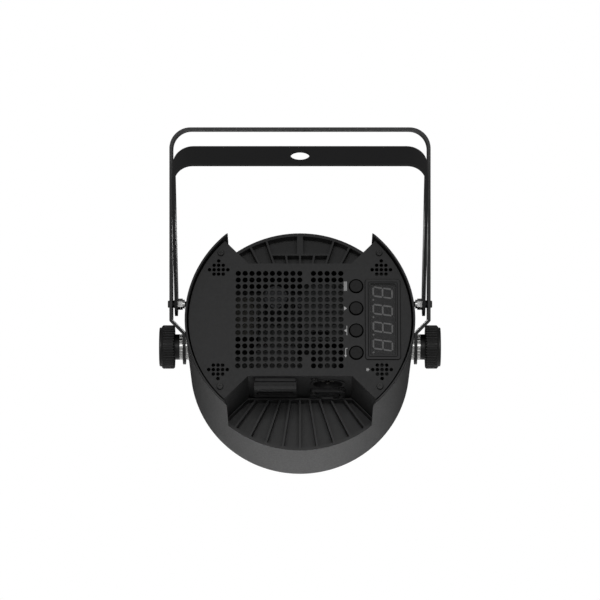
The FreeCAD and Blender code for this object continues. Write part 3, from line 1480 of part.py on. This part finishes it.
def build_knobs():
    pad = "drum_radius - spot_depth + face_gap"
    friction = pierced_disc("friction_washer", "washer_radius", pad,
                            LEG_INNER + " - face_gap - (%s)" % pad)
    washer_start = "(" + LEG_OUTER + " + face_gap)"
    clamp = pierced_disc("clamp_washer", "washer_radius", washer_start, "clamp_washer_thick")
    teeth = [radial_tooth("washer_tooth_%d" % number, 360 / WASHER_TEETH * number)
             for number in range(WASHER_TEETH)]
    tooth_set = compound("washer_teeth", teeth)
    clamp = cut("toothed_washer", clamp, tooth_set)
    friction = cut("toothed_friction_washer", friction, tooth_set)

    collar_start = "(" + washer_start + " + clamp_washer_thick + face_gap)"
    grip_start = "(" + collar_start + " + collar_thick)"
    grip_end = "(" + grip_start + " + grip_thick)"
    profile = turned("knob_profile", [
        ("0", collar_start),
        ("washer_radius", collar_start),
        ("washer_radius", grip_start),
        ("grip_radius - grip_edge", grip_start),
        ("grip_radius", grip_start + " + grip_edge"),
        ("grip_radius", grip_end + " - grip_chamfer"),
        ("grip_radius - grip_chamfer", grip_end),
        ("0", grip_end),
    ], "x")
    flutes = []
    for number in range(KNURL_COUNT):
        turn = math.radians(360 / KNURL_COUNT * (number + 0.5))
        flutes.append(rod("flute_%d" % number, "x", "knurl_radius",
                          (grip_start + " - 1", "grip_radius * %.9f" % math.cos(turn),
                           "grip_radius * %.9f" % math.sin(turn)),
                          "grip_thick - grip_chamfer + 1"))
    socket = rod("knob_socket", "x", "stud_radius + running_gap",
                 (collar_start + " - 1", "0", "0"), "collar_thick + grip_thick * 0.7 + 1")
    knob = cut("fluted_knob", profile, socket, *flutes)

    disc = rod("cap_disc", "x", "cap_radius", (grip_end + " + face_gap", "0", "0"), "cap_rise")
    doc.recompute()
    cap = rounded("cap_rounded", disc, read("cap_round"),
                  edges_at("x", disc.Shape.BoundBox.XMax))

    stud_start = "drum_radius - boss_length + 3"
    stud = rod("stud", "x", "stud_radius", (stud_start, "0", "0"),
               grip_start + " + grip_thick * 0.7 - 0.2 - (%s)" % stud_start)

    for name, piece in (("friction_washer", friction), ("clamp_washer", clamp), ("knob", knob),
                        ("knob_cap", cap), ("knob_stud", stud)):
        keep(name + "_right", [piece])
        keep(name + "_left", [mirrored(name + "_mirror", piece)])


def radial_tooth(name, degrees):
    """A notch in the rims of both washers."""
    turn = math.radians(degrees)
    return rod(name, "x", "tooth_radius",
               ("drum_radius - 1", "washer_radius * %.9f" % math.cos(turn),
                "washer_radius * %.9f" % math.sin(turn)),
               "leg_gap + strap_thick + clamp_washer_thick + 3")


# ---------------------------------------------------------------- inner leads


def lead(name, points, radius):
    """A round wire along straight runs joined by tangent arcs, each as large as the runs allow."""
    edges = []
    start = points[0]
    for before, corner, after in zip(points, points[1:], points[2:]):
        toward = (before - corner).normalize()
        away = (after - corner).normalize()
        reach = 0.45 * min((before - corner).Length, (after - corner).Length)
        opening = toward.getAngle(away)
        bend = reach * math.tan(opening / 2)
        bisector = (toward + away).normalize()
        first = corner + toward * reach
        last = corner + away * reach
        middle = corner + bisector * (bend / math.sin(opening / 2) - bend)
        edges.append(Part.LineSegment(start, first).toShape())
        edges.append(Part.Arc(first, middle, last).toShape())
        start = last
    edges.append(Part.LineSegment(start, points[-1]).toShape())
    path = Part.Wire(edges)
    circle = Part.Wire([Part.makeCircle(radius, points[0], points[1] - points[0])])
    thing = doc.addObject("Part::Feature", name)
    thing.Shape = path.makePipeShell([circle], True, True)
    return thing


def build_leads():
    """The mains wires from the inlet's blades to the supply, and the lead to the LED board."""
    panel = -read("drum_rear") + read("panel_inset")
    socket = panel + read("inlet_behind") + read("inlet_long") * SOCKET_SHARE
    blade_top = -read("notch_height") + read("inlet_deep") + 4.3
    board = -read("floor_depth") - read("supply_rise") - read("board_thick") - read("loose_gap")
    wires = []
    for number, (shift, end) in enumerate(((-7, -27), (7, -7))):
        across = -read("inlet_across") + shift
        start = Vector(across, socket - 2, blade_top)
        wires.append(lead("mains_wire_%d" % number, [
            start,
            start + Vector(0, 0, 5),
            Vector(end, socket + 4, blade_top + 7),
            Vector(end, board - 5, blade_top + 4),
            Vector(end, board, blade_top + 4),
        ], 1.1))
    keep("mains_wires", wires)
    keep("led_lead", [rod("led_lead_run", "y", "lead_radius",
                          ("lead_across", SUPPLY_FACE + " - lead_beyond", "0"),
                          "0 - %s + lead_beyond + sink_front - 1" % SUPPLY_FACE)])


# ---------------------------------------------------------------- assembly


def check_and_export():
    doc.recompute()
    for thing in doc.Objects:
        if "Invalid" in thing.State or "Error" in thing.State:
            raise RuntimeError("object %s failed: %s" % (thing.Name, thing.State))
    os.makedirs("parts", exist_ok=True)
    for node in NODES:
        if node.Shape.isNull() or not node.Shape.isValid() or not node.Shape.Solids:
            raise RuntimeError("node %s has no valid solid" % node.Label)
    for node in NODES:
        node.Shape.exportStep("parts/%s.step" % node.Label)
    print("%d nodes written" % len(NODES))


build_outer_yoke()
build_inner_yoke()
build_link_hardware()
build_housing()
build_rear_cover()
build_display()
build_buttons()
build_control_board()
build_inlet()
build_data_input()
build_data_output()
build_power_supply()
build_light_engine()
build_front()
build_knobs()
build_leads()
check_and_export()
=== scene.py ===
"""The looks of a small LED par can light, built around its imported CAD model.

Places and lengths are in metres, in the row frame: the origin is the hanging hole on the outer
yoke's strap, +Z is up, +Y is the way the beam leaves, and the camera looks along +Y at the rear
panel. Sizes on the head itself are in millimetres, in the head's own frame, and say so.
"""
import json
import math

import bmesh
import bpy
from mathutils import Matrix, Vector


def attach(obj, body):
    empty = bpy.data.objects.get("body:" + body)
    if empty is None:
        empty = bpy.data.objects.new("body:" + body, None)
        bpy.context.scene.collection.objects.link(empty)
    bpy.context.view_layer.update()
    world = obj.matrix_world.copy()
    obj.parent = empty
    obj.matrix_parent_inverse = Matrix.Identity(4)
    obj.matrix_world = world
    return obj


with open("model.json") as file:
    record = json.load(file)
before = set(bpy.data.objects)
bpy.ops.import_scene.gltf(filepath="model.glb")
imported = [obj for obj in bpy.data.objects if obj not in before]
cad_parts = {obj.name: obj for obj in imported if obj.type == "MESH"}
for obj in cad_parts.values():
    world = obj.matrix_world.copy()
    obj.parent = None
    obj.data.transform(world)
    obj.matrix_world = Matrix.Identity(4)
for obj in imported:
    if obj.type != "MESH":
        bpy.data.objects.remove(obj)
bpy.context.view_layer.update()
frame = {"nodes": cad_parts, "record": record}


def joint_place(name):
    """A point on a joint's axis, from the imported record."""
    joints = {joint["name"]: joint for joint in frame["record"]["behaviour"]["joints"]}
    return Vector(joints[name]["pos_m"])


MM = 0.001
PIVOT = joint_place("head_tilt")
HEAD_TILT = math.radians(16)
HEAD_TURN = Matrix.Rotation(-HEAD_TILT, 4, "X")
HEAD_MATRIX = Matrix.Translation(PIVOT) @ HEAD_TURN

# depths along the head's axis from the pivot, in millimetres; over each pair the shine fades out,
# a painted shade in the gaps round the buttons and the display's bezel
PANEL_FACE = -73.0
BUTTON_PAINTED_SHADE_DEPTHS = (PANEL_FACE - 0.3, PANEL_FACE + 0.2)
BEZEL_PAINTED_SHADE_DEPTHS = (PANEL_FACE - 0.6, PANEL_FACE - 0.35)

# edges sharper than these stay crisp under smooth shading
CAD_SMOOTH_ANGLE = math.radians(28)
PIECE_SMOOTH_ANGLE = math.radians(35)


# ---------------------------------------------------------------- small helpers


def mesh_piece(name, mesh_maker, matrix, body, material):
    """A new mesh piece that rides on a body."""
    mesh = bpy.data.meshes.new(name)
    bm = bmesh.new()
    mesh_maker(bm)
    bm.transform(matrix)
    bmesh.ops.recalc_face_normals(bm, faces=bm.faces)
    bm.to_mesh(mesh)
    bm.free()
    piece = bpy.data.objects.new(name, mesh)
    bpy.context.scene.collection.objects.link(piece)
    mesh.materials.append(material)
    mesh.shade_smooth()
    mesh.set_sharp_from_angle(angle=PIECE_SMOOTH_ANGLE)
    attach(piece, body)


def add_node(tree, kind, **settings):
    """A new node in a tree, with its settings."""
    made = tree.nodes.new(kind)
    for key, value in settings.items():
        setattr(made, key, value)
    return made


# ---------------------------------------------------------------- materials

# sockets of a Mix node that blends colours, whose names repeat and so can't be looked up
MIX_SHARE = 0
MIX_FIRST = 6
MIX_SECOND = 7
MIX_RESULT = 2


class Shader:
    """A material's node tree, with short ways to add what repeats."""

    def __init__(self, name, base, roughness, metallic=0.0, coat=0.0):
        self.material = bpy.data.materials.new(name)
        self.material.use_nodes = True
        self.tree = self.material.node_tree
        self.bsdf = self.tree.nodes["Principled BSDF"]
        self.base = base
        self.roughness = roughness
        self.bsdf.inputs["Base Color"].default_value = (*base, 1)
        self.bsdf.inputs["Roughness"].default_value = roughness
        self.bsdf.inputs["Metallic"].default_value = metallic
        self.bsdf.inputs["Coat Weight"].default_value = coat
        self.bsdf.inputs["Coat Roughness"].default_value = 0.15
        self.place = self.node("ShaderNodeTexCoord").outputs["Object"]

    def node(self, kind, **settings):
        return add_node(self.tree, kind, **settings)

    def link(self, out, into):
        self.tree.links.new(out, into)

    def noise(self, scale, detail=2.0, stretch=(1, 1, 1)):
        """Noise with so many cells to the metre."""
        mapping = self.node("ShaderNodeMapping")
        mapping.inputs["Scale"].default_value = stretch
        self.link(self.place, mapping.inputs["Vector"])
        texture = self.node("ShaderNodeTexNoise")
        texture.inputs["Scale"].default_value = scale
        texture.inputs["Detail"].default_value = detail
        self.link(mapping.outputs["Vector"], texture.inputs["Vector"])
        return texture.outputs["Fac"]

    def ramp(self, value, low, high, start=0.35, end=0.65):
        """Goes from low to high as a value goes from start to end."""
        spread = self.node("ShaderNodeMapRange")
        spread.inputs["From Min"].default_value = start
        spread.inputs["From Max"].default_value = end
        spread.inputs["To Min"].default_value = low
        spread.inputs["To Max"].default_value = high
        self.link(value, spread.inputs["Value"])
        return spread.outputs["Result"]

    def blend_colours(self, share, first, second):
        """The base colour goes from the first colour to the second with a share."""
        mix = self.node("ShaderNodeMix", data_type="RGBA")
        mix.inputs[MIX_FIRST].default_value = (*first, 1)
        mix.inputs[MIX_SECOND].default_value = (*second, 1)
        self.link(share, mix.inputs[MIX_SHARE])
        self.link(mix.outputs[MIX_RESULT], self.bsdf.inputs["Base Color"])

    def vary_colour(self, scale, brighter, start=0.4, end=0.7):
        """The base colour drifts in soft patches toward itself made so many times brighter."""
        other = tuple(channel * brighter for channel in self.base)
        share = self.ramp(self.noise(scale, detail=3.0), 0, 1, start, end)
        self.blend_colours(share, self.base, other)

    def vary_roughness(self, scale, spread):
        value = self.ramp(self.noise(scale, detail=3.0), self.roughness - spread,
                          self.roughness + spread)
        self.link(value, self.bsdf.inputs["Roughness"])

    def add_bump(self, height, strength, distance):
        bump = self.node("ShaderNodeBump")
        bump.inputs["Strength"].default_value = strength
        bump.inputs["Distance"].default_value = distance
        self.link(height, bump.inputs["Height"])
        self.link(bump.outputs["Normal"], self.bsdf.inputs["Normal"])

    def grain(self, scale, strength, distance, stretch=(1, 1, 1), detail=2.0):
        self.add_bump(self.noise(scale, detail, stretch), strength, distance)

    def paint_shade_below(self, start, end):
        """Painted shade: shine fades out from one depth to another, in millimetres along the
        head's axis, so that gaps and recesses look shaded.
        """
        inward = HEAD_TURN @ Vector((0, 1, 0))
        along = self.node("ShaderNodeVectorMath", operation="DOT_PRODUCT")
        self.link(self.place, along.inputs[0])
        along.inputs[1].default_value = inward
        zero = PIVOT.dot(inward)
        share = self.ramp(along.outputs["Value"], 1, 0, zero + start * MM, zero + end * MM)
        specular = self.node("ShaderNodeMath", operation="MULTIPLY")
        specular.inputs[1].default_value = self.bsdf.inputs["Specular IOR Level"].default_value
        self.link(share, specular.inputs[0])
        self.link(specular.outputs[0], self.bsdf.inputs["Specular IOR Level"])


def powder_coat(name, base, roughness):
    """Satin powder coat: a faint orange peel with fine speckle in its gloss."""
    shader = Shader(name, base, roughness)
    shader.vary_colour(scale=1400, brighter=1.3)
    shader.vary_roughness(scale=700, spread=0.04)
    shader.grain(scale=2200, strength=0.08, distance=0.00003)
    return shader.material


def moulded_plastic(name, base, roughness, grain=0.1, painted_shade_depths=None):
    """Matt moulding with a fine spark-eroded texture; its shine fades over the given depths, a
    painted shade in the gaps.
    """
    shader = Shader(name, base, roughness)
    shader.vary_colour(scale=1200, brighter=1.2)
    shader.vary_roughness(scale=600, spread=0.04)
    shader.grain(scale=2600, strength=grain, distance=0.00003, detail=3.0)
    # painted shade: shine fades out deeper than the given depths
    if painted_shade_depths is not None:
        shader.paint_shade_below(*painted_shade_depths)
    return shader.material


def gloss_plastic(name, base, roughness):
    """Smooth plastic with a thin clear coat."""
    shader = Shader(name, base, roughness, coat=0.3)
    shader.vary_roughness(scale=90, spread=0.03)
    shader.grain(scale=300, strength=0.04, distance=0.00005)
    return shader.material


def plated_metal(name, base, roughness, stretch=(1, 1, 1)):
    """Plated or turned metal with fine tool lines and cloudy gloss."""
    shader = Shader(name, base, roughness, metallic=1.0)
    shader.vary_colour(scale=600, brighter=0.85, start=0.4, end=0.8)
    shader.vary_roughness(scale=700, spread=0.03)
    shader.grain(scale=2500, strength=0.04, distance=0.00002, stretch=stretch)
    return shader.material


def circuit_board(name):
    """Black solder mask with broad copper areas under it."""
    shader = Shader(name, (0.011, 0.014, 0.012), 0.45)
    cells = shader.node("ShaderNodeTexVoronoi", distance="CHEBYCHEV")
    cells.inputs["Scale"].default_value = 260
    shader.link(shader.place, cells.inputs["Vector"])
    share = shader.ramp(cells.outputs["Distance"], 0, 1, 0.3, 0.36)
    shader.blend_colours(share, (0.013, 0.017, 0.014), (0.007, 0.009, 0.008))
    shader.add_bump(cells.outputs["Distance"], strength=0.1, distance=0.00005)
    return shader.material


def clear_plastic(name, tint, roughness):
    """Clear moulded plastic, slightly uneven."""
    shader = Shader(name, tint, roughness)
    shader.bsdf.inputs["Transmission Weight"].default_value = 0.92
    shader.bsdf.inputs["IOR"].default_value = 1.49
    shader.vary_roughness(scale=60, spread=0.02)
    shader.grain(scale=120, strength=0.03, distance=0.00005)
    return shader.material


def smoked_window(name):
    """A smoked filter: what is behind it shows, much darkened."""
    shader = Shader(name, (0.04, 0.04, 0.04), 0.38)
    shader.bsdf.inputs["Alpha"].default_value = 0.3
    shader.vary_roughness(scale=70, spread=0.03)
    shader.grain(scale=240, strength=0.03, distance=0.00004)
    return shader.material


# each finish: what makes it, then its base colour, its roughness and what else the maker takes
FINISHES = {
    "black_powder_coat": (powder_coat, (0.010, 0.010, 0.0105), 0.42),
    "housing_coat": (powder_coat, (0.012, 0.012, 0.0125), 0.4),
    "black_plastic": (moulded_plastic, (0.012, 0.012, 0.0125), 0.5),
    "knob_plastic": (moulded_plastic, (0.006, 0.006, 0.006), 0.42),
    # the button and bezel finishes fade their shine with depth: painted shade in the gaps round
    # them
    "button_plastic": (moulded_plastic, (0.003, 0.003, 0.003), 0.66, 0.05, BUTTON_PAINTED_SHADE_DEPTHS),
    "bezel_plastic": (moulded_plastic, (0.012, 0.012, 0.0125), 0.48, 0.1, BEZEL_PAINTED_SHADE_DEPTHS),
    "dark_finish": (moulded_plastic, (0.006, 0.006, 0.006), 0.7),
    "display_filter": (smoked_window,),
    "display_segment": (gloss_plastic, (0.6, 0.6, 0.6), 0.5),
    "zinc_steel": (plated_metal, (0.62, 0.62, 0.61), 0.26),
    "black_steel": (powder_coat, (0.015, 0.015, 0.015), 0.28),
    "nickel_contact": (plated_metal, (0.55, 0.53, 0.48), 0.25),
    "brass": (plated_metal, (0.5, 0.36, 0.14), 0.3),
    "circuit_board": (circuit_board,),
    "component_plastic": (moulded_plastic, (0.02, 0.02, 0.022), 0.5),
    "capacitor_sleeve": (gloss_plastic, (0.03, 0.032, 0.04), 0.35),
    "transformer_core": (moulded_plastic, (0.05, 0.048, 0.04), 0.6),
    "aluminium": (plated_metal, (0.55, 0.55, 0.56), 0.35, (1, 1, 12)),
    "clear_glass": (clear_plastic, (0.95, 0.96, 0.97), 0.06),
    "clear_lens": (clear_plastic, (0.96, 0.97, 0.98), 0.04),
    "rubber": (moulded_plastic, (0.01, 0.01, 0.01), 0.8),
    "wire_jacket": (gloss_plastic, (0.03, 0.02, 0.02), 0.4),
    "fuse_glass": (clear_plastic, (0.9, 0.93, 0.95), 0.05),
}
MATERIALS = {name: maker(name, *values) for name, (maker, *values) in FINISHES.items()}
PANEL_PRINT = gloss_plastic("panel_print", (0.62, 0.62, 0.62), 0.45)

# nodes whose finish differs from the rest of their slot
OWN_FINISH = {
    "display_bezel": "bezel_plastic",
    "microphone": "dark_finish",
    "supply_heat_sink": "dark_finish",
    "board_screws": "dark_finish",
    "supply_screws": "dark_finish",
}


def dress_cad_nodes():
    """Each CAD node takes its own or its slot's finish, and smooth shading on its round faces."""
    slots = {row["node"]: row["material_slot"] for row in frame["record"]["subparts"]}
    for name, node in frame["nodes"].items():
        node.data.materials.clear()
        node.data.materials.append(MATERIALS[OWN_FINISH.get(name, slots[name])])
        node.data.shade_smooth()
        node.data.set_sharp_from_angle(angle=CAD_SMOOTH_ANGLE)


# ---------------------------------------------------------------- print on the rear panel

# in millimetres on the panel's face, across and up from the head's middle
PRINT_ACROSS = 31.6
BUTTON_PITCH = 16.0
MICROPHONE_MARK = (47.0, -36.0)
PRINT_THICK = 0.04

PRINT_HALF_WIDTH = 1.0
PRINT_HALF_LENGTH = 3.4
STROKE = 0.45
MENU_LINE_PITCH = 0.8
ARROW_HALF_SPREAD = 1.5
UNDERLINE_ACROSS = 0.9

RETURN_STROKE = 0.5
RETURN_HEAD_BASE = -1.6
RETURN_HEAD_HALF_SPREAD = 0.9
RETURN_HOOK_ACROSS = 0.55
RETURN_HOOK_THICK = 0.6
RETURN_HOOK_LONG = 1.2

CAPSULE_RADIUS = 0.45
CAPSULE_TOP = 0.5
CAPSULE_BOTTOM = -0.3
CAPSULE_STEP = 30
STAND_STROKE = 0.3
STAND_BASE_ACROSS = -1.0
STAND_BASE_HALF_LENGTH = 0.9
STAND_POST_ACROSS = -0.8
CRADLE_ACROSS = -0.2
CRADLE_INNER = 0.75
CRADLE_OUTER = 1.05
CRADLE_LONG = 1.1


def print_marks(name, outlines, across, up):
    """Flat marks on the panel's face, each a closed outline of (across, up) corners."""
    def build(bm):
        for outline in outlines:
            rings = []
            for depth in (PANEL_FACE - PRINT_THICK, PANEL_FACE - PRINT_THICK / 4):
                ring = [bm.verts.new(Vector((across + x, depth, up + z)) * MM)
                        for x, z in outline]
                bm.faces.new(ring)
                rings.append(ring)
            outer, inner = rings
            for number in range(len(outline)):
                following = (number + 1) % len(outline)
                bm.faces.new([outer[number], outer[following], inner[following],
                              inner[number]])
    mesh_piece(name, build, HEAD_MATRIX, "head", PANEL_PRINT)


def bar(across, low, high, thick):
    """A rectangle from low to high, centred so far across."""
    half = thick / 2
    return [(across - half, low), (across + half, low), (across + half, high),
            (across - half, high)]


def arrow(toward):
    """A solid arrow head that points along X, to +X for 1 and to -X for -1."""
    return [(-PRINT_HALF_WIDTH * toward, -ARROW_HALF_SPREAD), (PRINT_HALF_WIDTH * toward, 0),
            (-PRINT_HALF_WIDTH * toward, ARROW_HALF_SPREAD)]


def menu_lines():
    return [bar(shift, -PRINT_HALF_LENGTH, PRINT_HALF_LENGTH, STROKE)
            for shift in (-MENU_LINE_PITCH, 0, MENU_LINE_PITCH)]


def underlined_arrow():
    line = bar(UNDERLINE_ACROSS, -PRINT_HALF_LENGTH, PRINT_HALF_LENGTH, STROKE)
    return [arrow(-1), line]


def return_arrow():
    """A long arrow with a short hook at its tail."""
    long = PRINT_HALF_LENGTH
    shaft = bar(0, RETURN_HEAD_BASE, long, RETURN_STROKE)
    hook = bar(RETURN_HOOK_ACROSS, long - RETURN_HOOK_THICK, long, RETURN_HOOK_LONG)
    head = [(0, -long), (RETURN_HEAD_HALF_SPREAD, RETURN_HEAD_BASE),
            (-RETURN_HEAD_HALF_SPREAD, RETURN_HEAD_BASE)]
    return [shaft, hook, head]


def capsule():
    """A closed outline along X with two round ends."""
    outline = []
    for middle, start in ((CAPSULE_TOP, -90), (CAPSULE_BOTTOM, 90)):
        for turn in range(start, start + 181, CAPSULE_STEP):
            angle = math.radians(turn)
            outline.append((CAPSULE_RADIUS * math.cos(angle) + middle,
                            CAPSULE_RADIUS * math.sin(angle)))
    return outline


def microphone_sign():
    """A capsule in a cradle, on a post and a base."""
    half = STAND_STROKE / 2
    return [capsule(),
            bar(STAND_BASE_ACROSS, -STAND_BASE_HALF_LENGTH, STAND_BASE_HALF_LENGTH, STAND_STROKE),
            bar(STAND_POST_ACROSS, -half, half, STAND_STROKE),
            bar(CRADLE_ACROSS, CRADLE_INNER, CRADLE_OUTER, CRADLE_LONG),
            bar(CRADLE_ACROSS, -CRADLE_OUTER, -CRADLE_INNER, CRADLE_LONG)]


def build_print():
    """Plain signs beside the buttons and the microphone's vent, upright toward +X."""
    signs = (
        ("print_menu", menu_lines(), 1.5),
        ("print_up", [arrow(1)], 0.5),
        ("print_down", underlined_arrow(), -0.5),
        ("print_enter", return_arrow(), -1.5),
    )
    for name, outlines, row in signs:
        print_marks(name, outlines, PRINT_ACROSS, row * BUTTON_PITCH)
    print_marks("print_microphone", microphone_sign(), *MICROPHONE_MARK)


# ---------------------------------------------------------------- studio

HORIZON_BEHIND = 0.06
ZENITH_BEHIND = 0.10
SIDE_OF_CAMERA = 0.30
SKY_RISE = (0.05, 0.7)
SKY_TURN = (-0.3, 0.3)

FLOOR_HEIGHT = -0.75
FLOOR_SIZE = 6
FLOOR_LIGHT_PLACE = Vector((0, 0.9, -0.05))
FLOOR_LIGHT_TARGET = Vector((0, 0.9, FLOOR_HEIGHT))
SIDE_LIGHT_ACROSS = 1.8

SENSOR_WIDTH = 36
LENS = 198
CAMERA_DISTANCE = 2.361
CAMERA_ABOVE_PIVOT = 0.0336


def area_light(name, place, target, size, power):
    """A rectangular light that faces its target."""
    data = bpy.data.lights.new(name, "AREA")
    data.shape = "RECTANGLE"
    data.size, data.size_y = size
    data.energy = power
    light = bpy.data.objects.new(name, data)
    bpy.context.scene.collection.objects.link(light)
    light.location = place
    direction = Vector(target) - Vector(place)
    light.rotation_euler = direction.to_track_quat("-Z", "Y").to_euler()


def smooth_spread(tree, value, between, low, high):
    """Goes smoothly from low to high as a value goes between two others."""
    made = add_node(tree, "ShaderNodeMapRange", interpolation_type="SMOOTHSTEP")
    made.inputs["From Min"].default_value = between[0]
    made.inputs["From Max"].default_value = between[1]
    made.inputs["To Min"].default_value = low
    made.inputs["To Max"].default_value = high
    tree.links.new(value, made.inputs["Value"])
    return made.outputs["Result"]


def blend_values(tree, share, first, second):
    """Goes from the first value to the second with a share; a value is a socket or a number."""
    made = add_node(tree, "ShaderNodeMix", data_type="FLOAT")
    for socket, value in zip((0, 2, 3), (share, first, second)):
        if isinstance(value, float):
            made.inputs[socket].default_value = value
        else:
            tree.links.new(value, made.inputs[socket])
    return made.outputs[0]


def build_world():
    """White to the camera; to all else, dim ahead of the camera and brighter behind it."""
    world = bpy.data.worlds.new("studio")
    bpy.context.scene.world = world
    world.use_nodes = True
    tree = world.node_tree
    background = tree.nodes["Background"]
    background.inputs["Color"].default_value = (1, 1, 1, 1)
    split = add_node(tree, "ShaderNodeSeparateXYZ")
    tree.links.new(add_node(tree, "ShaderNodeTexCoord").outputs["Generated"], split.inputs[0])
    behind = smooth_spread(tree, split.outputs["Z"], SKY_RISE, HORIZON_BEHIND, ZENITH_BEHIND)
    toward = smooth_spread(tree, split.outputs["Y"], SKY_TURN, 0.0, 1.0)
    lit = blend_values(tree, toward, SIDE_OF_CAMERA, behind)
    seen = add_node(tree, "ShaderNodeLightPath").outputs["Is Camera Ray"]
    tree.links.new(blend_values(tree, seen, lit, 1.0), background.inputs["Strength"])


def build_floor():
    bpy.ops.mesh.primitive_plane_add(size=FLOOR_SIZE, location=(0, 0, FLOOR_HEIGHT))
    floor = bpy.context.object
    floor.name = "floor"
    paint = Shader("pale_floor", (0.86, 0.86, 0.86), 0.7)
    paint.grain(scale=40, strength=0.05, distance=0.0005)
    floor.data.materials.append(paint.material)


def build_lights():
    """A broad light over the camera, one that brightens the floor, and one to each side."""
    area_light("front_light", place=(0, -2.6, 0.5), target=(0, 0, -0.15), size=(1.6, 0.9),
               power=12)
    area_light("floor_light", place=FLOOR_LIGHT_PLACE, target=FLOOR_LIGHT_TARGET,
               size=(0.3, 0.5), power=3.2)
    for side in (-1, 1):
        area_light("side_light_%d" % (side + 1), place=(SIDE_LIGHT_ACROSS * side, -0.5, 1.2),
                   target=(0, 0, -0.1), size=(0.8, 0.8), power=3)


def build_camera():
    """Level with a point a little above the head's pivot, looking along +Y."""
    data = bpy.data.cameras.new("camera")
    data.sensor_width = SENSOR_WIDTH
    data.lens = LENS
    camera = bpy.data.objects.new("camera", data)
    bpy.context.scene.collection.objects.link(camera)
    camera.location = (0, -CAMERA_DISTANCE, PIVOT.z + CAMERA_ABOVE_PIVOT)
    camera.rotation_euler = (math.radians(90), 0, 0)
    bpy.context.scene.camera = camera


dress_cad_nodes()
build_print()
build_world()
build_floor()
build_lights()
build_camera()
bpy.context.scene.view_settings.view_transform = "Standard"
